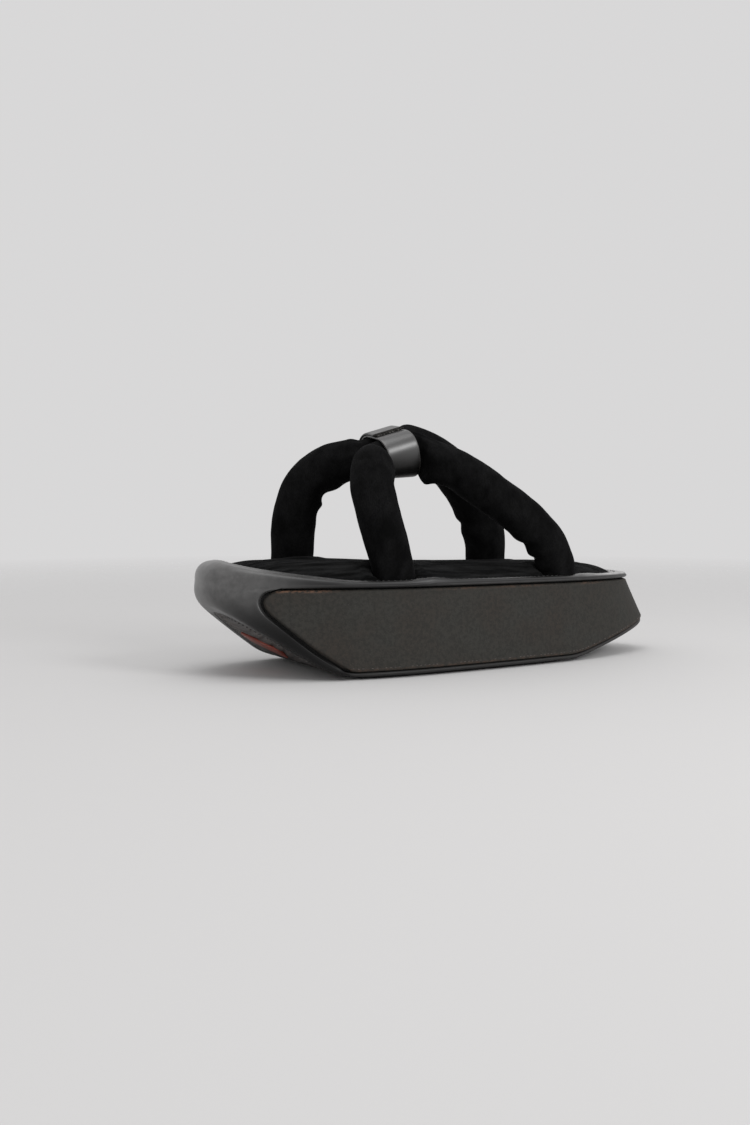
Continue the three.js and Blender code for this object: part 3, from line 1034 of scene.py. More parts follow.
@dataclass
class LeatherCover:
    """Rim all round and wrap of the toe, with a rolled border where the side panel begins."""

    front_rows: tuple[tuple[float, float], ...] = (
        (-2.0, 77.0),
        (4.2, 84.0),
        (8.4, 89.8),
        (16.6, 101.5),
        (33.5, 121.0),
        (38.0, 124.4),
        (42.5, 125.2),
        (46.0, 122.8),
        (48.0, 118.6),
        (50.0, 111.0),
    )
    border_steps: tuple[float, ...] = (0.0, 0.25, 0.55, 0.9, 1.3, 1.8, 2.4, 3.1, 4.0, 5.5)
    most_stretch: float = 1.6
    toe_tilt: float = 1.6
    tilt_fade: tuple[float, float] = (70.0, 105.0)
    flat_ease: float = 6.0
    flat_crown: float = 0.35
    under_end: float = 0.12
    foot_end: float = 0.4
    corner_share: float = 0.47
    inside_share: float = 0.62
    rim_share: float = 0.86
    tail_columns: int = 64
    tail_crowding: float = 1.6
    toe_columns: int = 110
    rest_columns: int = 360
    wrap_rows: int = 54
    under_rows: int = 5
    lower_edge_rows: int = 34
    lower_crowding: float = 1.5
    rim_rows: int = 22
    roll_reach: float = 1.1
    roll_depth: float = 2.2
    ridge: Triple = (2.2, 1.0, 0.55)
    bead: Triple = (0.75, 0.6, 0.6)
    bead_fade: tuple[float, float] = (96.0, 122.0)
    ridge_fade: tuple[float, float] = (27.0, 40.0)
    roll_fade: tuple[float, float] = (4.0, 15.0)
    wall_thickness: float = 0.9
    inner_radius: float = 1.4
    seam_inset: float = 2.6
    seam_groove: tuple[float, float] = (0.55, 0.45)
    lip_inward: tuple[float, float] = (-2.0, -0.5)
    lip_drop: tuple[float, float] = (-0.3, -0.25)
    # Painted highlights: a pale line on the lip's bead, the top of the nose, and the heel's rim top.
    highlight_shares: Triple = (0.11, 0.25, 1.3)
    lip_highlight_y: tuple[float, float] = (20.0, 50.0)
    nose_highlight_y: tuple[float, float] = (98.0, 138.0)
    nose_highlight_z: tuple[float, float] = (29.0, 54.0)
    heel_highlight_y: tuple[float, float] = (-60.0, -125.0)
    # Painted shade: the rim's side below its top, and the wrap darker towards the bottom.
    band_shade: float = 0.75
    band_shade_y: tuple[float, float] = (85.0, 118.0)
    low_shade_z: tuple[float, float] = (20.0, 52.0)
    ripple: float = 0.55
    ripple_size: Triple = (9.0, 3.2, 9.0)
    puckers: tuple[tuple[float, float, float, float], ...] = (
        (Side.LATERAL.value, 31.0, 11.0, 1.5),
        (Side.LATERAL.value, -82.0, 8.0, 0.8),
        (Side.MEDIAL.value, 58.0, 9.0, 1.0),
        (Side.MEDIAL.value, -71.0, 8.0, 0.8),
    )

    def front(self, z: Array) -> Array:
        """Y of the panel's front edge at heights, on a smooth curve through its rows."""
        return hermite(np.array(self.front_rows), 1, z)

    def stretch(self, z: Array) -> Array:
        """Length along a row for each mm square to the panel's front edge, by the edge's slope there."""
        slope = (self.front(z + 0.25) - self.front(z - 0.25)) / 0.5
        return np.sqrt(1 + slope * slope)

    def ahead(self, place: Array) -> Array:
        """Distance of places ahead of the panel's front edge, square to it."""
        z = place[..., 2]
        return (place[..., 1] - self.front(z)) / self.stretch(z)

    def skin(self, angle: Array, share: Array) -> Array:
        """The wall from the turn under the sole up to the deck line.

        Args:
            angle: places round the outline.
            share: 0 at the inner edge of the turn, 1 at the deck line.

        Returns:
            Places on the skin.
        """
        wall = FORM.wall(angle)
        start = wall.foot(np.zeros_like(angle))[0]
        under = start - FORM.wrap_reach(wall.y) * (1 - np.clip(share / self.under_end, 0, 1))
        under_z = FORM.bottom(wall.y + wall.out_y * under)
        foot = wall.foot(np.clip((share - self.under_end) / (self.foot_end - self.under_end), 0, 1))
        top = FORM.deck(wall.y) + GAP
        face_z = mix(wall.centre_z, top, np.clip((share - self.foot_end) / (1 - self.foot_end), 0, 1))
        face = np.where(face_z > wall.centre_z, wall.face(face_z), wall.flare)
        parts = [share < self.under_end, share < self.foot_end]
        offset = np.select(parts, [under, foot[0]], face)
        return wall.place(offset, np.select(parts, [under_z, foot[1]], face_z))

    def outward(self, angle: Array, share: Array) -> Array:
        """Unit normals of the skin: the cross product of small steps round the outline and up the rows.

        Args:
            angle: places round the outline.
            share: rows of the skin.

        Returns:
            The normal at each place.
        """
        step = 1e-3
        along = self.skin(angle + step, share) - self.skin(angle - step, share)
        rise = self.skin(angle, share + step) - self.skin(angle, share - step)
        return unit(np.cross(along, rise))

    def border_angle(self, skin: Skin, share: Array, distance: Array, side: Side) -> Array:
        """Angle at which the skin lies at a distance ahead of the panel's edge, by halving.

        Args:
            skin: gives places by angle and share.
            share: rows of the skin.
            distance: distances ahead, stretched where the edge slopes; negative ones lie behind.
            side: which side of the toe.

        Returns:
            The angle for each pair, positive on the lateral side.
        """
        sign = -side.value
        low = np.zeros(np.broadcast(share, distance).shape)
        high = np.full(low.shape, math.pi * 0.6)
        for _ in range(40):
            middle = (low + high) / 2
            place = skin(sign * middle, share + 0 * middle)
            longer = np.minimum(self.stretch(place[..., 2]), self.most_stretch)
            beyond = place[..., 1] - self.front(place[..., 2]) > distance * longer
            low, high = np.where(beyond, middle, low), np.where(beyond, high, middle)
        return sign * (low + high) / 2

    def toe_angles(self, share: Array) -> Array:
        """Angles of the wrap's columns, from the medial border round the toe to the lateral one.

        Args:
            share: rows of the skin, as a column.

        Returns:
            Rows by columns of angles.
        """
        steps = np.array(self.border_steps)[None]
        medial = self.border_angle(self.skin, share, steps, Side.MEDIAL)
        lateral = self.border_angle(self.skin, share, steps, Side.LATERAL)[:, ::-1]
        middle = mix(medial[:, -1:], lateral[:, :1], np.linspace(0, 1, self.toe_columns)[None, 1:-1])
        return np.concatenate([medial, middle, lateral], axis=1)

    def tail_angles(self, side: Side) -> Array:
        """Angles of the columns below the panel, from the border's corner back to the strip's end.

        Args:
            side: which side of the toe.

        Returns:
            The angles, crowded towards the corner by a power.
        """
        ends = np.array([self.corner_share, self.under_end])
        corner, end = self.border_angle(self.skin, ends, np.zeros(2), side)
        return mix(corner, end, np.linspace(0, 1, self.tail_columns + 1)[1:] ** self.tail_crowding)

    def lower_edge(self, angle: Array) -> Array:
        """Share at which columns meet the panel's lower front edge, by halving up from the underside.

        Args:
            angle: places round the outline, behind the border's corner.

        Returns:
            The share for each, no less than the turn's.
        """
        low, high = np.zeros(angle.shape), np.full(angle.shape, self.inside_share)
        for _ in range(40):
            middle = (low + high) / 2
            ahead = self.ahead(self.skin(angle, middle)) > 0
            low, high = np.where(ahead, middle, low), np.where(ahead, high, middle)
        return np.maximum(low, self.under_end)

    def lower_rows(self, edge: Array) -> Array:
        """Shares of the rows from the inner edge of the turn up to an edge, crowded near it by a power.

        Args:
            edge: share of the edge in each column.

        Returns:
            Rows by columns of shares.
        """
        under = np.linspace(0, self.under_end, self.under_rows + 1)[:-1, None] + 0 * edge
        way = 1 - (1 - np.linspace(0, 1, self.lower_edge_rows)[:, None]) ** self.lower_crowding
        return np.concatenate([under, mix(self.under_end, edge, way)])

    def rolled(self, angle: Array, share: Array) -> Array:
        """The wrap with its border raised in a ridge and rolled level into the groove at the edge.

        Args:
            angle: places round the outline.
            share: rows of the skin.

        Returns:
            Places on the skin, moved out along their normals and in along the level.
        """
        grid = self.skin(angle, share)
        z = grid[..., 2]
        away = np.maximum(self.ahead(grid), 0)
        centre, reach, height = self.ridge
        normal = self.outward(angle, share)
        level = unit(normal * np.array([1.0, 1.0, 0.0]))
        raised = smooth_step(*self.ridge_fade, z) * height * hump(away, centre, reach)
        rolled = 1 - smooth_step(0, self.roll_reach, away)
        drawn = smooth_step(*self.roll_fade, z) * self.roll_depth * rolled
        return grid + raised[..., None] * normal - drawn[..., None] * level

    def rim_grid(self, angle: Array) -> Array:
        """The rim: up the wall with a bead, over its rounded edge and its grooved flat, and down inside.

        Args:
            angle: places round the outline.

        Returns:
            Rows by columns of places.
        """
        wall = FORM.wall(angle)
        width = FORM.rim_span(wall)
        low = FORM.deck(wall.y) + GAP
        z_wall = mix(low, wall.top_z, np.sin(np.linspace(0, math.pi / 2, self.rim_rows))[:, None])
        centre, reach, height = self.bead
        side_share = 1 - smooth_step(*self.bead_fade, wall.y)
        bead = height * hump(z_wall - low, centre, reach) * side_share
        flat_share = np.linspace(0, 1, self.rim_rows)[1:, None]
        flat = mix(-wall.rim_radius, -width + self.inner_radius, flat_share)
        groove_reach, groove_depth = self.seam_groove
        seam = groove_depth * hump(flat, -width + self.seam_inset, groove_reach)
        crown = self.flat_crown * np.sin(flat_share * math.pi) - seam
        inner_top = self.flat_top(wall, -width)
        fold = np.linspace(0, 1, 6)[1:, None] * math.pi / 2
        folded = -width + self.inner_radius * (1 - np.sin(fold))
        folded_z = inner_top - self.inner_radius * (1 - np.cos(fold))
        down = mix(inner_top - self.inner_radius, low, np.linspace(0, 1, 4)[1:, None])
        offset = [wall.face(z_wall) + bead, flat, folded, -width + 0 * down]
        height_rows = [z_wall, self.flat_top(wall, flat) + crown, folded_z, down]
        grid = wall.place(np.concatenate(offset), np.concatenate(height_rows))
        return self.puckered(grid)

    def flat_top(self, wall: Wall, offset: Array) -> Array:
        """Height of the rim's flat: the rim's height at the arc, easing to a tilted height further in.

        Args:
            wall: places of the outline.
            offset: distances out from the outline.

        Returns:
            The height at each.
        """
        tilt = self.toe_tilt * smooth_step(*self.tilt_fade, wall.y)
        here = FORM.rim(wall.y + wall.out_y * offset) + tilt
        return mix(wall.top_z, here, smooth_step(0, self.flat_ease, -wall.rim_radius - offset))

    def puckered(self, grid: Array) -> Array:
        """The rim pushed up into soft puckers beside the strap legs: a rippled bell beside each.

        Args:
            grid: places on the rim.

        Returns:
            The same places, lifted by how far they stand above the deck.
        """
        x, y, z = grid[..., 0], grid[..., 1], grid[..., 2]
        lift = np.zeros_like(x)
        for side, where, reach, height in self.puckers:
            lift += height * hump(y, where, reach) * (x * side > 0)
        above = np.clip((z - FORM.deck(y)) / FORM.rim_stand, 0, 1)
        ripple = 1 + self.ripple * SoftNoise(41).at(grid, self.ripple_size)
        grid[..., 2] += lift * above * ripple
        return grid

    def build(self) -> None:
        """Joins the rim, the wrap and the lip over the panel into one skin, and sews the rim."""
        share = np.linspace(self.corner_share, 1, self.wrap_rows)[:, None]
        angles = self.toe_angles(share)
        wrap = self.rolled(angles, np.broadcast_to(share, angles.shape))
        top = angles[-1]
        rest = np.linspace(top[-1], top[0] + 2 * math.pi, self.rest_columns)[1:-1]
        rim = self.rim_grid(np.concatenate([top, rest]))
        toe = len(top)
        wrap += smooth_step(self.rim_share, 1.0, share)[..., None] * (rim[0, :toe] - wrap[-1])
        edge_row = np.concatenate([rim[:1, toe - 1 :], rim[:1, :1]], axis=1)
        behind = np.concatenate([top[-1:], rest, top[:1] + 2 * math.pi])
        lip = np.concatenate([self.rolled_lip(behind), edge_row])
        places, faces, start = [], [], 0
        for grid in (rim, self.lower_strip(angles[0]), wrap, lip):
            index = grid_index(grid, start)
            faces.append(grid_faces(index, grid is rim))
            places.append(grid.reshape(-1, 3))
            start += index.size
        skin = np.concatenate(places)
        cover = new_piece("leather_cover", skin, np.concatenate(faces), COVER_LEATHER)
        self.wear_and_painted_light(cover)
        thicken(cover, self.wall_thickness)
        seat(cover, "smooth_leather", "leather_cover")
        self.sew()

    def lower_strip(self, middle: Array) -> Array:
        """The wrap's lower part: across the toe up to the corners, and back below the panel on both sides.

        Args:
            middle: angles of the columns between the two corners.

        Returns:
            Rows by columns of places.
        """
        medial, lateral = self.tail_angles(Side.MEDIAL)[::-1], self.tail_angles(Side.LATERAL)
        corner = np.full(len(middle), self.corner_share)
        edge = np.concatenate([self.lower_edge(medial), corner, self.lower_edge(lateral)])
        rows = self.lower_rows(edge)
        angle = np.concatenate([medial, middle, lateral])
        return self.rolled(np.broadcast_to(angle, rows.shape), rows)

    def rolled_lip(self, angle: Array) -> Array:
        """Two rows that turn the rim's lower edge in under the lip.

        Args:
            angle: places round the outline, behind the wrap.

        Returns:
            Rows by columns of places.
        """
        wall = FORM.wall(angle)
        low = FORM.deck(wall.y) + GAP
        inward, drop = np.array(self.lip_inward)[:, None], np.array(self.lip_drop)[:, None]
        return wall.place(wall.face(low) + inward, low + drop)

    def wear_and_painted_light(self, piece: bpy.types.Object) -> None:
        """Marks painted highlights on the lip, the nose and the heel's rim, and painted shade low on the
        wrap and on the rim's side.

        Args:
            piece: the cover.
        """
        _, y, z = vertex_places(piece).T
        from_top = z - FORM.rim(y)
        # Painted highlights on the lip's bead, the top of the nose and the heel's rim top.
        edge = hump(z - FORM.deck(y), 1.0, 0.5) * (1 - smooth_step(*self.lip_highlight_y, y))
        nose = smooth_step(*self.nose_highlight_y, y) * smooth_step(*self.nose_highlight_z, z)
        heel = smooth_step(*self.heel_highlight_y, y) * smooth_step(-1.1, -0.1, from_top)
        # Painted shade on the rim's side below its top, and low on the wrap.
        band = (1 - smooth_step(-1.6, -0.6, from_top)) * (1 - smooth_step(*self.band_shade_y, y))
        on_edge, on_nose, on_heel = self.highlight_shares
        mark(piece, "wear_and_painted_light", on_edge * edge + on_nose * nose + on_heel * heel)
        mark(piece, "painted_shade", 1 - smooth_step(*self.low_shade_z, z) + self.band_shade * band)

    def sew(self) -> None:
        """Lays the stitches in the rim's groove."""
        angle = np.linspace(0, 2 * math.pi, 1400)
        wall = FORM.wall(angle)
        width = FORM.rim_span(wall)
        inset = -width + self.seam_inset
        line = self.puckered(wall.place(inset, self.flat_top(wall, inset) - 0.05))
        up = np.tile([0.0, 0.0, 1.0], (len(line), 1))
        seat(StitchRow(radius=0.48).build("rim_stitches", line, up, RIM_THREAD), "smooth_leather")


# Platform


@dataclass
class Platform:
    """Foam core, and the matte panel round its sides and heel."""

    cover: LeatherCover
    core_inset: float = 3.0
    panel_inset: float = 0.35
    groove: float = 1.4
    tail_gap: float = 0.8
    tail_z: float = 5.7
    top_gap: float = 1.0
    foot_end: float = 0.06
    foot_rows: int = 4
    wall_rows: int = 70
    panel_steps: tuple[float, ...] = (0.0, 0.2, 0.45, 0.8, 1.3, 2.0, 3.0, 5.0, 8.0)
    columns: int = 480
    roll_reach: float = 1.0
    roll_depth: float = 1.2
    wall_thickness: float = 0.8
    sew_rise: float = 0.6
    sew_start: float = 1.05
    sew_clear: float = 2.0
    sag: float = 0.3
    sag_size: Triple = (60.0, 40.0, 22.0)
    sag_edge: float = 6.0
    sag_foot: tuple[float, float] = (3.0, 12.0)
    # Along the foot and at the heel's back corner, the scuffs also paint an edge highlight.
    foot_scuff_and_highlight: Triple = (3.5, 0.6, 0.2)
    heel_scuff: Triple = (0.9, 0.8, 0.3)
    corner_scuff_and_sheen: float = 0.12
    scuff_runs: tuple[Triple, ...] = (
        (112.0, 7.0, 1.0),
        (98.0, 9.0, 0.8),
        (12.0, 14.0, 0.35),
        (-30.0, 16.0, 0.45),
        (-84.0, 10.0, 0.5),
    )

    def build(self) -> None:
        """Makes the core, the panel and the panel's stitches."""
        self.build_core()
        self.build_panel()

    def build_core(self) -> None:
        """A closed stack of rings: the rounded foot, the wall and the deck, closed by strips across."""
        angle = np.linspace(0, 2 * math.pi, 241)[:-1]
        wall = FORM.wall(angle, self.core_inset, FORM.sheet_thickness + GAP)
        foot = wall.foot(np.linspace(0, 1, 5)[:, None])
        deck = FORM.deck(wall.y)[None] - GAP
        offset = np.concatenate([foot[0], FORM.wall(angle).face(deck) - self.core_inset])
        grid = wall.place(offset, np.concatenate([foot[1], deck]))
        core = new_piece("platform_core", grid, closed_faces(grid), CORE_FOAM)
        seat(core, "panel_leather", "platform")

    def skin(self, angle: Array, share: Array) -> Array:
        """The panel's face: a rounded foot, then the wall, on rows that run level under the toe.

        Args:
            angle: places round the outline.
            share: 0 at the foot, where it turns under, 1 at the top edge.

        Returns:
            Places on the face.
        """
        wall = FORM.wall(angle, self.panel_inset, FORM.sheet_thickness + GAP)
        level = np.where(wall.y > 0, np.minimum(wall.centre_z, self.tail_z), wall.centre_z)
        turned = wall.foot(np.clip(share / self.foot_end, 0, 1))
        foot_z = turned[1] + level - wall.centre_z
        top = FORM.deck(wall.y) + GAP - self.top_gap
        up_wall = np.clip((share - self.foot_end) / (1 - self.foot_end), 0, 1)
        on_foot = share < self.foot_end
        z = np.where(on_foot, foot_z, mix(level, top, up_wall))
        below = np.clip((wall.centre_z - z) / wall.radius, 0, 1)
        arc = wall.centre + wall.radius * np.sqrt(1 - below * below)
        face = np.where(z > wall.centre_z, wall.face(z) - self.panel_inset, arc)
        return wall.place(np.where(on_foot & (wall.y < 0), turned[0], face), z)

    def build_panel(self) -> None:
        """The panel's face from border to border round the heel, its edges rolled in, and its stitches."""
        foot = np.linspace(0, self.foot_end, self.foot_rows + 1)[:-1]
        share = np.concatenate([foot, np.linspace(self.foot_end, 1, self.wall_rows)])[:, None]
        tail = self.tail_gap * (1 - smooth_step(0.0, 2 * self.foot_end, share))
        steps = -self.groove - tail - np.array(self.panel_steps)[None]
        lateral = self.cover.border_angle(self.skin, share, steps, Side.LATERAL)
        medial = self.cover.border_angle(self.skin, share, steps, Side.MEDIAL)[:, ::-1] + 2 * math.pi
        way = np.linspace(0, 1, self.columns)[None, 1:-1]
        angle = np.concatenate([lateral, mix(lateral[:, -1:], medial[:, :1], way), medial], axis=1)
        grid = self.skin(angle, np.repeat(share, angle.shape[1], 1))
        below = FORM.deck(grid[..., 1]) + GAP - self.top_gap - grid[..., 2]
        behind = -self.groove - tail - self.cover.ahead(grid)
        near = np.maximum(np.minimum(behind, below), 0)
        above = grid[..., 2] - FORM.bottom(grid[..., 1])
        inner = smooth_step(0, self.sag_edge, near) * smooth_step(*self.sag_foot, above)
        sag = self.sag * SoftNoise(3).at(grid, self.sag_size) * inner
        move = sag - self.roll_depth * (1 - smooth_step(0, self.roll_reach, near))
        grid = grid + move[..., None] * surface_normals(grid)
        panel = new_piece("side_panel", grid, grid_faces(grid_index(grid)), PANEL_LEATHER)
        self.scuff_and_highlight(panel)
        thicken(panel, self.wall_thickness)
        seat(panel, "panel_leather")
        self.sew()

    def scuff_and_highlight(self, panel: bpy.types.Object) -> None:
        """Marks copper scuffs: in runs along the top edge, along the foot, and at the heel's edge; along
        the foot and at the heel's back they also paint an edge highlight.

        Args:
            panel: the side panel.
        """
        _, y, z = vertex_places(panel).T
        below = FORM.deck(y) + GAP - self.top_gap - z
        edge = hump(below, 0.8, 0.5)
        along = sum(weight * hump(y, where, reach) for where, reach, weight in self.scuff_runs)
        # Scuffs along the foot, with a painted edge highlight.
        where, reach, weight = self.foot_scuff_and_highlight
        foot = weight * hump(z - FORM.bottom(y), where, reach)
        where, reach, weight = self.heel_scuff
        heel_top = weight * hump(below, where, reach) * smooth_step(-118, -130, y)
        # Scuffing and painted sheen over the heel's back.
        heel_corner = self.corner_scuff_and_sheen * smooth_step(-138, -146, y)
        mark(panel, "wear_and_painted_light", edge * along + foot + heel_corner + heel_top)

    def sew(self) -> None:
        """Lays a row of stitches along the panel's foot."""
        angle = np.linspace(self.sew_start, 2 * math.pi - self.sew_start, 1400)
        wall = FORM.wall(angle, self.panel_inset, FORM.sheet_thickness + GAP)
        z = wall.centre_z + self.sew_rise
        line = wall.place(wall.face(z) - self.panel_inset, z)
        kept = self.cover.ahead(line) < -self.groove - self.sew_clear
        line = line[kept]
        normal = np.stack([wall.out_x, wall.out_y, 0 * angle], axis=-1)[kept]
        row = StitchRow(pitch=2.6, share=0.66, radius=0.2, sink=0.04)
        seat(row.build("panel_stitches", line, normal, COPPER_THREAD, skip=0.3), "panel_leather")


# Outsole


@dataclass
class Outsole:
    """Rubber sheet with its ribs, contact pad, sewn toe tab and the leather patch under the toe."""

    rows: int = 320
    across: int = 64
    rib_pitch: float = 6.0
    rib_depth: float = 0.55
    rib_bow: tuple[float, float] = (3.0, 9.0)
    plain_edge: float = 7.0
    edge_radius: float = 0.7
    pad_inset: float = 4.0
    pad_rib_pitch: float = 7.5
    pad_rib_depth: float = 1.0
    pad_rows: int = 180
    pad_bevel: tuple[float, float] = (0.8, 1.6)
    pad_clear: Triple = (12.0, 62.0, 8.0)
    tab_lines: tuple[float, ...] = (1.5, 3.8)
    tab_start_y: float = 92.0
    patch_centre: tuple[float, float] = (5.0, 107.0)
    patch_half: tuple[float, float] = (15.0, 4.6)
    patch_turn: float = math.radians(24)
    patch_proud: float = 0.9
    patch_square: float = 0.3
    patch_rings: int = 14
    patch_bevel: tuple[tuple[float, float], ...] = ((0.97, 0.92), (0.99, 0.75), (1.0, 0.5), (1.0, -0.4))

    def build(self) -> None:
        """Makes the sheet, the pad, the tab's stitches and the patch."""
        self.build_sheet()
        self.build_pad()
        self.sew_tab()
        self.build_patch()

    def ribs(self, x: Array, y: Array, inside: Array, pitch: float) -> Array:
        """Depth share of shallow waves across the sole, fading out towards the edge.

        Args:
            x: places across.
            y: places along.
            inside: distance in from the edge.
            pitch: distance between waves.

        Returns:
            0 on the ribs to 1 in the grooves.
        """
        bow, spread = self.rib_bow
        wave = np.sin((y + bow * np.cos(x / spread)) * 2 * math.pi / pitch)
        fade = smooth_step(self.plain_edge - 1.5, self.plain_edge + 0.5, inside)
        return smooth_step(-0.1, 0.75, wave) * fade

    def build_sheet(self) -> None:
        """A closed loop at each place along the sole: ribbed underside, rounded edges, plain top."""
        angle = np.linspace(0.002, math.pi - 0.002, self.rows)[:, None]
        lateral = np.stack(FORM.sheet_edge(angle), -1)
        medial = np.stack(FORM.sheet_edge(-angle), -1)
        share = np.concatenate([np.linspace(0, 1, self.across), np.linspace(1, 0, self.across)])[None]
        under = np.repeat([1, 0], self.across)[None]
        ground = mix(lateral, medial, share[..., None])
        x, y = ground[..., 0], ground[..., 1]
        width = np.linalg.norm(medial - lateral, axis=-1)
        inside = np.minimum(share, 1 - share) * width
        short = np.maximum(self.edge_radius - inside, 0)
        round_off = self.edge_radius - np.sqrt(np.maximum(self.edge_radius**2 - short**2, 0))
        steep = 1 / np.cos(FORM.lean(y))
        middle, half, fade = self.pad_clear
        past_pad = smooth_step(0, fade, np.abs(y - middle) - half)
        relief = self.rib_depth * self.ribs(x, y, inside, self.rib_pitch) * past_pad
        z_under = FORM.bottom(y) + (relief + round_off) * steep
        z_top = FORM.bottom(y) + (FORM.sheet_thickness - round_off) * steep
        grid = np.stack([x, y, np.where(under > 0, z_under, z_top)], axis=-1)
        sheet = new_piece("outsole_sheet", grid, closed_faces(grid), OUTSOLE_RUBBER)
        self.dust(sheet)
        seat(sheet, "rubber", "outsole")

    def dust(self, sheet: bpy.types.Object) -> None:
        """Marks the dusty toe tab and the scraped heel."""
        y = vertex_places(sheet)[:, 1]
        mark(sheet, "wear_and_painted_light", smooth_step(84, 104, y) + 0.3 * smooth_step(-70, -130, y))

    def build_pad(self) -> None:
        """The contact pad: a closed loop at each place along it, ribbed where it meets the floor."""
        low, high = FORM.pad_heel_y, FORM.pad_toe_y
        y_rows = np.linspace(low, high, self.pad_rows)[:, None]
        angles = np.linspace(0.05, math.pi - 0.05, 900)
        edges = [FORM.sheet_edge(sign * angles, -self.pad_inset) for sign in (1, -1)]
        lateral, medial = (np.interp(y_rows, y[::-1], x[::-1]) for x, y in edges)
        share = np.concatenate([np.linspace(0, 1, self.across), np.linspace(1, 0, self.across)])[None]
        under = np.repeat([1, 0], self.across)[None]
        x = mix(lateral, medial, share)
        y = y_rows + 0 * x
        from_side = np.minimum(share, 1 - share) * (medial - lateral)
        inside = np.minimum(from_side, np.minimum(y - low, high - y))
        bevel, reach = self.pad_bevel
        round_off = bevel * (1 - smooth_step(0, reach, inside))
        relief = self.pad_rib_depth * self.ribs(x, y, inside, self.pad_rib_pitch)
        top = FORM.pad_depth + FORM.sheet_thickness / 4
        grid = np.stack([x, y, np.where(under > 0, relief + round_off, top)], axis=-1)
        seat(new_piece("contact_pad", grid, closed_faces(grid)[:, ::-1], OUTSOLE_RUBBER), "rubber")

    def sew_tab(self) -> None:
        """Two rows of stitches round the tip of the tab."""
        for number, inset in enumerate(self.tab_lines, 1):
            angle = np.linspace(-1.2, 1.2, 900)
            x, y = FORM.sheet_edge(angle, -inset)
            own_side = (y > self.tab_start_y) & (x * np.sign(angle) < -0.4)
            line = np.stack([x, y, FORM.bottom(y)], axis=-1)[own_side]
            lean = FORM.lean(line[:, 1])
            normal = np.stack([0 * lean, np.sin(lean), -np.cos(lean)], axis=-1)
            row = StitchRow(pitch=2.5, share=0.66, radius=0.3, sink=0.0)
            seat(row.build(f"tab_stitches_{number}", line, normal, DARK_THREAD), "rubber")

    def build_patch(self) -> None:
        """A leather patch on the tab: a rounded plate that follows the underside, bevelled at its edge."""
        bevel_radial, bevel_proud = np.array(self.patch_bevel).T
        radial = np.concatenate([np.linspace(0.02, 0.94, self.patch_rings), bevel_radial])[:, None]
        turn = np.linspace(0, 2 * math.pi, 97)[None, :-1]
        u = signed_power(np.cos(turn), self.patch_square) * radial * self.patch_half[0]
        v = signed_power(np.sin(turn), self.patch_square) * radial * self.patch_half[1]
        cos, sin = math.cos(self.patch_turn), math.sin(self.patch_turn)
        x = self.patch_centre[0] + u * cos - v * sin
        y = self.patch_centre[1] + u * sin + v * cos
        proud = self.patch_proud * np.concatenate([np.ones(self.patch_rings), bevel_proud])[:, None]
        lean = FORM.lean(y)
        z = FORM.bottom(y) - proud * np.cos(lean)
        grid = np.stack([x, y + proud * np.sin(lean), z], axis=-1)
        seat(new_piece("toe_patch", grid, closed_faces(grid), PATCH_LEATHER), "rubber")


# Keeper


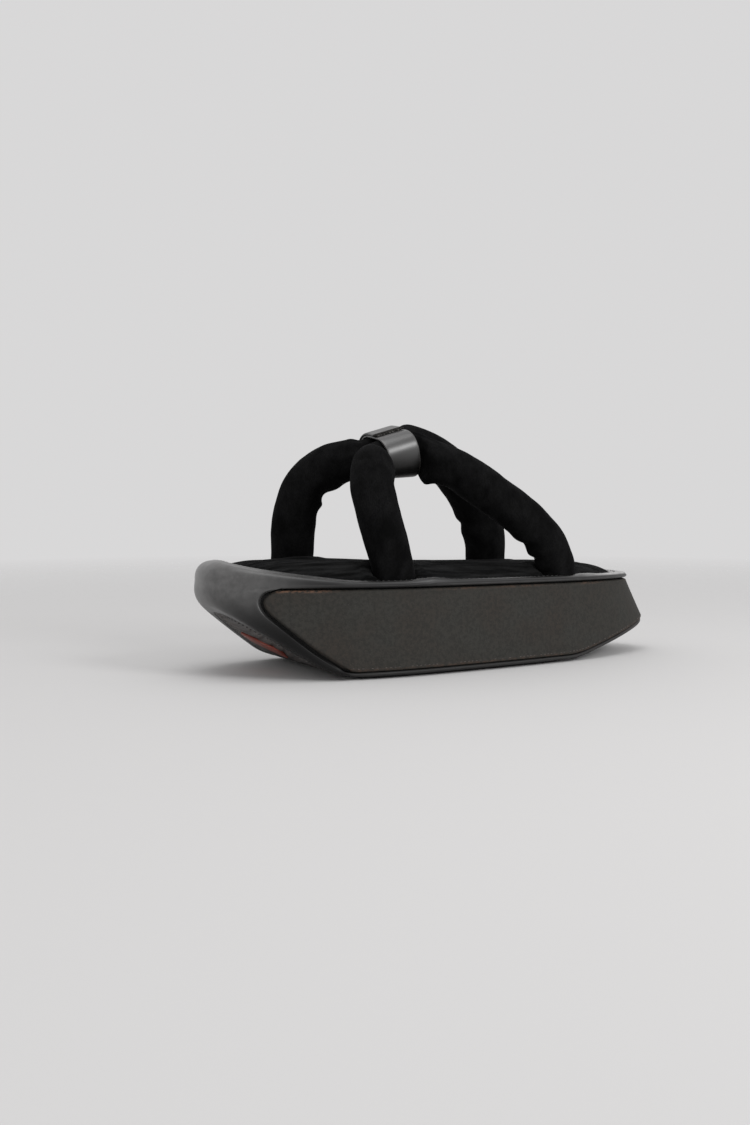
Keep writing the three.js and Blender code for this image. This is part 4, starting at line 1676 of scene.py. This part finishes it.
@dataclass
class Keeper:
    """Leather band round both straps, its free end lapped over the top with a raw, sewn edge."""

    centre: Triple = (0.0, 31.8, 122.2)
    pitch: float = math.radians(16)
    roll: float = math.radians(7)
    width: float = 20.0
    thickness: float = 1.5
    half_across: float = 16.6
    half_up: float = 9.6
    lap_thickness: float = 1.2
    raw_band: float = 0.03
    under_sag: tuple[float, float] = (1.18, 1.5)
    cut_back: Triple = (0.33, 0.12, 2.0)
    lap_start: float = 0.2
    lap_end: float = 0.56
    # Painted shade over the whole lap.
    lap_shade: float = 0.3
    lap_fade: float = 0.16
    lap_least: float = 0.15
    lap_lift: float = 0.04
    torn_size: Triple = (0.8, 1.5, 0.7)
    torn_reach: float = 0.008
    torn_swell: float = 0.35
    wave_depth: float = 0.14
    wave_size: Triple = (9.0, 9.0, 9.0)
    stitch_inset: float = 1.4
    stitch_rows: tuple[tuple[float, float], ...] = ((0.01, 0.1), (-0.005, -0.75))
    steps: int = 160
    raw_steps: int = 12
    lap_steps: int = 84

    def axes(self) -> tuple[Array, Array, Array]:
        """Directions of the band: turned by its pitch about the foot's width, and by its roll.

        Returns:
            Across the foot, back along the straps, and up out of the instep.
        """
        sin_p, cos_p = math.sin(self.pitch), math.cos(self.pitch)
        sin_r, cos_r = math.sin(self.roll), math.cos(self.roll)
        across = np.array([cos_r, sin_r * sin_p, sin_r * cos_p])
        back = np.array([0.0, -cos_p, sin_p])
        return across, back, np.cross(back, across)

    def sag(self, back: Array) -> Array:
        """How much deeper the underside hangs than the top stands, growing to the rear edge."""
        return mix(*self.under_sag, smooth_step(-self.width / 2, self.width / 2, back))

    def outline(self, share: Array, swell: Array, back: Array) -> tuple[Array, Array]:
        """A stadium by length round it, from the lateral end over the top: straights and half circles.

        Args:
            share: way round, from 0 to 1.
            swell: distance out from the inner face.
            back: distance back along the straps.

        Returns:
            Places across and up.
        """
        flat = self.half_across - self.half_up
        corner = math.pi / 2 * self.half_up
        share = np.mod(share, 1.0)
        over_top = share < 0.5
        from_middle = (corner + flat) * (4 * np.where(over_top, share, 1 - share) - 1)
        middle = np.clip(from_middle, -flat, flat)
        turn = math.pi / 2 - (from_middle - middle) / self.half_up
        radius = self.half_up + swell
        stand = np.where(over_top, 1, -self.sag(back))
        return middle + radius * np.cos(turn), stand * radius * np.sin(turn)

    def place(self, share: Array, swell: Array, back: Array) -> Array:
        """Places on the band: its outline carried back, with the front edge cut back over the top.

        Args:
            share: way round, from 0 to 1.
            swell: distance out from the inner face.
            back: distance back along the straps.

        Returns:
            The places.
        """
        across_way, back_way, up_way = self.axes()
        across, up = self.outline(share, swell, back)
        where, reach, most = self.cut_back
        back = back + most * hump(share, where, reach) * smooth_step(2.0, -self.width / 2, back)
        spread = across[..., None] * across_way + up[..., None] * up_way + back[..., None] * back_way
        return np.array(self.centre) + spread

    def section(self, thickness: Array, count: int = 24) -> tuple[Array, Array]:
        """A rounded strip: swell and distance back round its section.

        Args:
            thickness: the strip's thickness at each place along it, as a column.
            count: points round the section.

        Returns:
            Swell from 0 to the thickness, and distance back.
        """
        turn = np.linspace(0, 2 * math.pi, count + 1)[None, :-1] + math.pi / count
        swell = thickness / 2 * (1 + signed_power(np.sin(turn), 0.45))
        return swell, self.width / 2 * signed_power(np.cos(turn), 0.12) + 0 * thickness

    def build(self) -> None:
        """Makes the band, the lap, its raw edge and its stitches."""
        self.build_band()
        self.build_lap()
        self.sew()

    def build_band(self) -> None:
        """The band: a rounded strip carried once round the stadium."""
        share = np.linspace(0, 1, self.steps + 1)[:-1, None]
        swell, back = self.section(np.full_like(share, self.thickness))
        grid = self.place(share + 0 * swell, swell, back)
        wave = self.wave_depth * SoftNoise(11).at(grid, self.wave_size)
        grid = self.place(share + 0 * swell, swell + wave, back)
        index = grid_index(grid)
        closed = np.concatenate([index, index[:1]])
        band = new_piece("strap_keeper", grid, grid_faces(closed, True)[:, ::-1], KEEPER_LEATHER)
        along = (vertex_places(band) - np.array(self.centre)) @ self.axes()[1]
        mark(band, "wear_and_painted_light", smooth_step(self.width / 2 - 1.0, self.width / 2 - 0.1, np.abs(along)))
        # Painted shade: the band's lower half is painted darker and duller.
        mark(band, "painted_shade", 1 - smooth_step(-9.0, 0.5, vertex_places(band)[:, 2] - self.centre[2]))
        seat(band, "keeper_leather", "strap_keeper")

    def build_lap(self) -> None:
        """The lapped end: a strip over the band from its raw edge to where it thins out beyond the top."""
        raw_end = self.lap_start + self.raw_band
        raw_rows = np.linspace(self.lap_start, raw_end, self.raw_steps)[:-1]
        share = np.concatenate([raw_rows, np.linspace(raw_end, self.lap_end, self.lap_steps)])[:, None]
        fade = 1 - smooth_step(self.lap_end - self.lap_fade, self.lap_end, share)
        swell, back = self.section(self.lap_least + self.lap_thickness * fade)
        raw = 1 - smooth_step(self.lap_start, raw_end + self.torn_reach, share)
        fibres = np.stack([back, 9 * swell, 140 * share + 0 * back], -1)
        torn = raw * SoftNoise(5).at(fibres, self.torn_size)
        swell = self.thickness + self.lap_lift + swell * (1 + self.torn_swell * torn)
        grid = self.place(share + self.torn_reach * torn, swell, back)
        lap = new_piece("keeper_lap", grid, closed_faces(grid)[:, ::-1], KEEPER_LEATHER)
        lap.data.materials.append(RAW_LEATHER.material())
        raw_faces = np.zeros(len(lap.data.polygons), np.int32)
        raw_faces[: len(raw_rows) * grid.shape[1]] = 1
        raw_faces[(grid.shape[0] - 1) * grid.shape[1] :] = 1
        lap.data.polygons.foreach_set("material_index", raw_faces)
        # Painted shade: the lap is painted a little darker and duller all over.
        mark(lap, "painted_shade", np.full(len(lap.data.vertices), self.lap_shade))
        seat(lap, "keeper_leather")

    def sew(self) -> None:
        """Short stitches over the raw edge, and a row of them behind it."""
        count = 200
        half = self.width / 2 - self.stitch_inset
        back = np.linspace(-half, half, count)
        normal = np.tile(self.axes()[2], (count, 1))
        row = StitchRow(pitch=1.9, share=0.55, radius=0.24, sink=0.05)
        for number, (behind, lift) in enumerate(self.stitch_rows, 1):
            share = np.full(count, self.lap_start + behind)
            swell = np.full(count, self.thickness + self.lap_thickness + lift)
            line = self.place(share, swell, back)
            stitches = row.build(f"keeper_stitches_{number}", line, normal, PALE_THREAD, skip=0.25)
            seat(stitches, "keeper_leather")


# Straps


@dataclass(frozen=True)
class Crease:
    """A soft trough or ridge across a strap: its row, the way round, and its depth, length and width."""

    row: float
    turn: float
    depth: float
    length: float
    width: float
    lip_share: float = 0.35
    lip_away: float = 2.2

    def press(self, way: Array, length: Array, turn: Array) -> Array:
        """Height that the crease adds: a bell along the strap with lips beside it, times a bell round it.

        Args:
            way: rows counted along the strap.
            length: distance along the strap at each of them.
            turn: angles round the strap.

        Returns:
            Heights, places along by angles; a trough's are negative.
        """
        along = length - np.interp(self.row, way, length)
        round_way = np.abs((turn - self.turn + math.pi) % (2 * math.pi) - math.pi)
        lip = hump(np.abs(along), self.lip_away * self.length, self.length)
        trough = hump(along, 0, self.length) - self.lip_share * lip
        return -self.depth * trough[:, None] * hump(round_way, 0, self.width)[None]


INNER, OUTER = -math.pi / 2, math.pi / 2


@dataclass
class Straps:
    """Two stuffed velour tubes, each from its front leg through the keeper to its rear leg."""

    keeper: Keeper
    apart: float = 15.0
    in_keeper: tuple[float, float] = (8.2, 9.3)
    straight: tuple[float, ...] = (-0.6, 0.0, 0.6)
    foot_across: float = 9.0
    release: float = 14.0
    rings_per_row: int = 22
    sides: int = 72
    gathers: int = 9
    gather_depth: float = 0.4
    gather_reach: float = 9.0
    crumples: tuple[tuple[int, float, float], ...] = ((21, 0.35, 13.0), (22, 0.14, 5.0))
    meet_gap: float = 0.05
    meet_reach: float = 6.0

    def rows(self, side: Side) -> Array:
        """Places and half sizes along a strap, in the order x, y, z, across, up.

        Args:
            side: which strap.

        Returns:
            A row for each section, feet included.
        """
        lateral_front = [
            (-36.5, 48.5, 56.0, 10.0, 12.0),
            (-35.5, 54.5, 78.0, 12.0, 12.0),
            (-32.0, 58.5, 98.0, 12.0, 12.3),
            (-23.5, 54.5, 111.0, 11.8, 12.3),
            (-13.0, 48.5, 115.0, 10.0, 11.2),
        ]
        lateral_rear = [
            (-13.0, 13.5, 118.4, 11.0, 11.6),
            (-20.0, -3.0, 110.8, 12.0, 11.5),
            (-26.0, -21.5, 98.2, 12.0, 12.0),
            (-29.0, -41.7, 83.8, 12.0, 11.8),
            (-30.0, -57.7, 68.8, 11.5, 11.8),
            (-30.0, -64.5, 55.0, 10.0, 11.8),
        ]
        medial_front = [
            (35.0, 77.0, 60.0, 10.5, 12.8),
            (34.5, 76.0, 82.0, 12.5, 13.0),
            (32.0, 71.5, 100.0, 12.8, 13.0),
            (25.0, 59.5, 113.0, 12.5, 13.0),
            (13.0, 48.5, 118.2, 10.4, 11.7),
        ]
        medial_rear = [
            (13.0, 11.5, 126.6, 11.0, 12.0),
            (18.0, -10.5, 119.8, 12.0, 12.5),
            (23.5, -30.5, 106.0, 12.5, 12.5),
            (27.0, -44.3, 88.5, 12.5, 12.9),
            (28.0, -51.7, 71.0, 11.5, 13.3),
            (28.0, -52.7, 57.0, 10.0, 13.3),
        ]
        front, rear = {
            Side.LATERAL: (lateral_front, lateral_rear),
            Side.MEDIAL: (medial_front, medial_rear),
        }[side]
        across, back, _ = self.keeper.axes()
        aside = np.array(self.keeper.centre) + across * side.value * self.apart / 2
        held = [(*(aside + back * share * self.keeper.width), *self.in_keeper) for share in self.straight]
        ends = front[0], rear[-1]
        feet = [(x, y, FORM.deck(y) + GAP, self.foot_across, up) for x, y, _, _, up in ends]
        return np.array([feet[0], *front, *held, *rear, feet[1]])

    def creases(self, side: Side) -> tuple[Crease, ...]:
        """Troughs and bulges of a strap, where its bends press it.

        Args:
            side: which strap.

        Returns:
            Its creases: troughs have a positive depth, bulges a negative one.
        """
        lateral = (
            Crease(2.75, OUTER, 0.9, 6.0, 0.8),
            Crease(3.3, INNER, 0.7, 4.0, 0.9),
            Crease(4.6, INNER, 1.0, 3.0, 1.0),
            Crease(9.9, INNER, 0.6, 5.0, 1.0),
            Crease(12.55, INNER, 1.5, 3.5, 0.8),
            Crease(13.3, INNER, 1.6, 3.0, 0.9),
            Crease(11.2, OUTER, 0.5, 9.0, 0.9),
            Crease(13.5, OUTER, 0.6, 5.0, 0.7),
        )
        medial = (
            Crease(3.35, INNER, 2.0, 5.5, 0.9),
            Crease(2.8, INNER, -0.9, 5.0, 0.8),
            Crease(2.45, INNER, 0.5, 4.0, 0.8),
            Crease(2.6, OUTER, 0.6, 8.0, 0.8),
            Crease(12.25, INNER, 1.5, 3.2, 0.9),
            Crease(11.8, OUTER, 0.5, 9.0, 0.9),
        )
        return {Side.LATERAL: lateral, Side.MEDIAL: medial}[side]

    def tube(self, side: Side) -> Array:
        """One tube: an ellipse carried along the curve through the rows, with creases and gathers in it.

        Args:
            side: which strap.

        Returns:
            Rings by sides of places.
        """
        rows = self.rows(side)
        last = len(rows) - 1
        way = np.linspace(0, last, last * self.rings_per_row + 1)
        centre, run = spline(rows[:, :3], way)
        before = np.minimum(way.astype(int), last - 1)
        share = smooth_step(0, 1, way - before)
        size = mix(rows[before, 3:], rows[before + 1, 3:], share[:, None])
        across_way, back_way, _ = self.keeper.axes()
        behind = (centre - np.array(self.keeper.centre)) @ back_way
        beyond = np.abs(behind) - self.keeper.width / 2
        held = 1 - smooth_step(0, self.release, beyond)[:, None]
        run = unit(mix(run, np.broadcast_to(back_way, run.shape), held))
        across = unit(across_way - (run @ across_way)[:, None] * run)
        up = np.cross(run, across)
        turn = np.arange(self.sides) / self.sides * 2 * math.pi
        cos, sin = np.cos(turn)[:, None], np.sin(turn)[:, None]
        sagging = 1 + (self.keeper.sag(behind)[:, None, None] - 1) * held[:, None]
        fuller = np.where(sin < 0, sagging, 1.0)
        ring = cos * (across * size[:, :1])[:, None] + sin * fuller * (up * size[:, 1:])[:, None]
        normal = unit(cos * (across / size[:, :1])[:, None] + sin * (up / size[:, 1:])[:, None])
        steps = np.linalg.norm(np.diff(centre, axis=0), axis=1)
        length = np.concatenate([[0], np.cumsum(steps)])
        press = sum(crease.press(way, length, turn) for crease in self.creases(side))
        near = hump(np.maximum(beyond, 0), 0, self.gather_reach)
        press += self.gather_depth * near[:, None] * np.sin(self.gathers * turn + side.value)[None]
        grid = centre[:, None] + ring
        press += sum(depth * SoftNoise(seed).at(grid, (size,) * 3) for seed, depth, size in self.crumples)
        loose = smooth_step(-1.0, 5.0, beyond)[:, None]
        grid = grid + (press * loose)[..., None] * normal
        aside = (grid - np.array(self.keeper.centre)) @ across_way * side.value
        squeeze = np.minimum(aside - self.meet_gap, 0) * (beyond < self.meet_reach)[:, None]
        return grid - (squeeze * side.value)[..., None] * across_way

    def build(self) -> None:
        """Joins both tubes into one padded piece, their ends closed on the deck."""
        places, faces, start = [], [], 0
        for side in Side:
            grid = self.tube(side)
            faces.append(closed_faces(grid, start))
            places.append(grid.reshape(-1, 3))
            start += len(places[-1])
        straps = new_piece("strap_upper", np.concatenate(places), np.concatenate(faces), STRAP_VELOUR)
        seat(straps, "strap_velour", "strap_upper")

    def feet(self) -> Array:
        """Centres and half sizes of the four feet on the deck: x, y, across, up."""
        rows = [self.rows(side)[end] for side in Side for end in (0, -1)]
        return np.array([(row[0], row[1], row[3], row[4]) for row in rows])


# Footbed


@dataclass
class Footbed:
    """Padded suede bed inside the rim, crowned along the middle and notched for the strap legs."""

    straps: Straps
    crown: float = 58.5
    crown_slope: float = 0.025
    edge_drop: float = 1.0
    shoulder: float = 22.0
    rows: int = 340
    across: int = 96
    fold_depth: float = 0.85
    folds: tuple[tuple[int, float, Triple], ...] = (
        (31, 1.0, (9.0, 85.0, 400.0)),
        (32, 0.5, (5.0, 34.0, 400.0)),
        (33, 0.22, (2.6, 17.0, 400.0)),
    )
    fold_sway: tuple[float, float] = (5.0, 47.0)
    flat_edge: float = 7.0
    heel_bump: Triple = (-114.0, 15.0, -1.0)
    heel_width: float = 26.0
    notch_clear: float = 0.4
    notch_edge: tuple[float, float] = (0.99, 1.08)
    notch_swell: Triple = (1.45, 0.2, 0.9)

    def edge(self, angle: Array) -> tuple[Array, Array]:
        """Edge of the bed: just inside the rim.

        Args:
            angle: places round the outline.

        Returns:
            X and Y of the edge.
        """
        wall = FORM.wall(angle)
        offset = -FORM.rim_span(wall) - GAP
        return wall.x + wall.out_x * offset, wall.y + wall.out_y * offset

    def top(self, x: Array, y: Array, inside: Array) -> Array:
        """Height of the bed: from the rim up a rounded shoulder to the crown, with long soft folds.

        Args:
            x: places across.
            y: places along.
            inside: distance in from the edge.

        Returns:
            Heights.
        """
        rim = FORM.rim(y) - self.edge_drop
        crown = np.maximum(self.crown + self.crown_slope * y, rim)
        share = 1 - (1 - np.clip(inside / self.shoulder, 0, 1)) ** 2
        sway, spread = self.fold_sway
        ground = np.stack([x + sway * np.sin(y / spread), y, 0 * y], axis=-1)
        relief = sum(weight * SoftNoise(seed).at(ground, size) for seed, weight, size in self.folds)
        where, reach, height = self.heel_bump
        heel = height * hump(y, where, reach) * hump(x, 0, self.heel_width)
        raised = self.fold_depth * relief + heel
        return mix(rim, crown, share) + raised * smooth_step(0, self.flat_edge, inside)

    def build(self) -> None:
        """A closed loop at each place along the bed: the padded top, and the underside on the deck."""
        angle = np.linspace(0.002, math.pi - 0.002, self.rows)[:, None]
        lateral, medial = np.stack(self.edge(angle), -1), np.stack(self.edge(-angle), -1)
        share = np.concatenate([np.linspace(1, 0, self.across), np.linspace(0, 1, self.across)])[None]
        under = np.repeat([0, 1], self.across)[None]
        ground = mix(lateral, medial, share[..., None])
        x, y = ground[..., 0], ground[..., 1]
        width = np.linalg.norm(medial - lateral, axis=-1)
        tip = np.minimum(y - lateral[-1, 0, 1], lateral[0, 0, 1] - y)
        inside = np.minimum(np.minimum(share, 1 - share) * width, np.maximum(tip, 0))
        top = self.top(x, y, inside)
        base = FORM.deck(y) + GAP
        around, spread, height = self.notch_swell
        for foot_x, foot_y, half_across, half_up in self.straps.feet():
            aside = (x - foot_x) / (half_across + self.notch_clear)
            along = (y - foot_y) / (half_up + self.notch_clear)
            reach = np.hypot(aside, along)
            top = top + height * hump(reach, around, spread)
            top = mix(base + GAP / 2, top, smooth_step(*self.notch_edge, reach))
        grid = np.stack([x, y, np.where(under > 0, base, np.maximum(top, base + GAP / 3))], axis=-1)
        bed = new_piece("footbed", grid, closed_faces(grid), BED_SUEDE)
        seat(bed, "footbed_suede", "footbed")


# Stage


@dataclass
class Stage:
    """Pale floor that fades into the backdrop, soft lights and the camera."""

    floor_radius: float = 2600.0
    fade: tuple[float, float] = (350.0, 1300.0)
    floor_colour: Triple = (0.65, 0.645, 0.643)
    backdrop: Triple = (0.69, 0.685, 0.687)
    backdrop_strength: float = 1.0
    eye: Triple = (-607.5, 360.8, 96.1)
    yaw: float = math.radians(-27.79)
    tilt: float = math.radians(-3.12)
    lens: float = 38.4
    lights: tuple[tuple[str, Triple, float, float], ...] = (
        ("heel_side", (-1100.0, -450.0, 720.0), 420.0, 5.6),
        ("overhead", (-150.0, 120.0, 1250.0), 800.0, 3.6),
    )
    aim: Triple = (0.0, 0.0, 60.0)

    def build(self) -> None:
        """Sets the floor, the backdrop, the lights and the camera."""
        self.build_floor()
        self.build_backdrop()
        for light in self.lights:
            self.add_light(*light)
        self.add_camera()

    def build_floor(self) -> None:
        """A round floor whose edge fades out."""
        radius = np.linspace(0, 1, 24)[1:, None] ** 2 * self.floor_radius
        turn = np.linspace(0, 2 * math.pi, 97)[None, :-1]
        grid = np.stack([radius * np.cos(turn), radius * np.sin(turn), 0 * radius * turn], axis=-1)
        index = grid_index(grid)
        faces = np.concatenate([grid_faces(index, True)[:, ::-1], cross_strips(index[0], True)])
        new_piece("floor", grid, faces, Paper("floor_paper", self.floor_colour, self.fade))

    def build_backdrop(self) -> None:
        """An even pale surround."""
        world = bpy.data.worlds.new("backdrop")
        world.use_nodes = True
        shade = world.node_tree.nodes["Background"]
        shade.inputs["Color"].default_value = (*self.backdrop, 1.0)
        shade.inputs["Strength"].default_value = self.backdrop_strength
        bpy.context.scene.world = world
        bpy.context.scene.view_settings.view_transform = "Standard"

    def add_light(self, name: str, place: Triple, size: float, power: float) -> None:
        """Adds a square soft light that faces the sandal.

        Args:
            name: the light's name.
            place: where it stands, in mm.
            size: its side, in mm.
            power: its power in watts.
        """
        light = bpy.data.lights.new(name, "AREA")
        light.size = size * MM
        light.energy = power
        lamp = bpy.data.objects.new(name, light)
        lamp.location = Vector(place) * MM
        lamp.rotation_euler = (Vector(self.aim) - Vector(place)).to_track_quat("-Z", "Y").to_euler()
        bpy.context.scene.collection.objects.link(lamp)

    def add_camera(self) -> None:
        """Adds the camera at the eye, looking by its yaw and tilt."""
        view = bpy.data.cameras.new("camera")
        view.lens = self.lens
        view.clip_start = 0.01
        camera = bpy.data.objects.new("camera", view)
        camera.location = Vector(self.eye) * MM
        flat = math.cos(self.tilt)
        ahead = Vector((flat * math.cos(self.yaw), flat * math.sin(self.yaw), math.sin(self.tilt)))
        camera.rotation_euler = ahead.to_track_quat("-Z", "Y").to_euler()
        bpy.context.scene.collection.objects.link(camera)
        bpy.context.scene.camera = camera


def main() -> None:
    """Builds the sandal piece by piece on its stage."""
    logging.basicConfig(level=logging.INFO, format="%(name)s %(message)s")
    LOG.info("frame of %d solids", len(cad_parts))
    Stage().build()
    cover = LeatherCover()
    cover.build()
    Platform(cover).build()
    Outsole().build()
    keeper = Keeper()
    keeper.build()
    straps = Straps(keeper)
    straps.build()
    Footbed(straps).build()


if __name__ == "__main__":
    main()
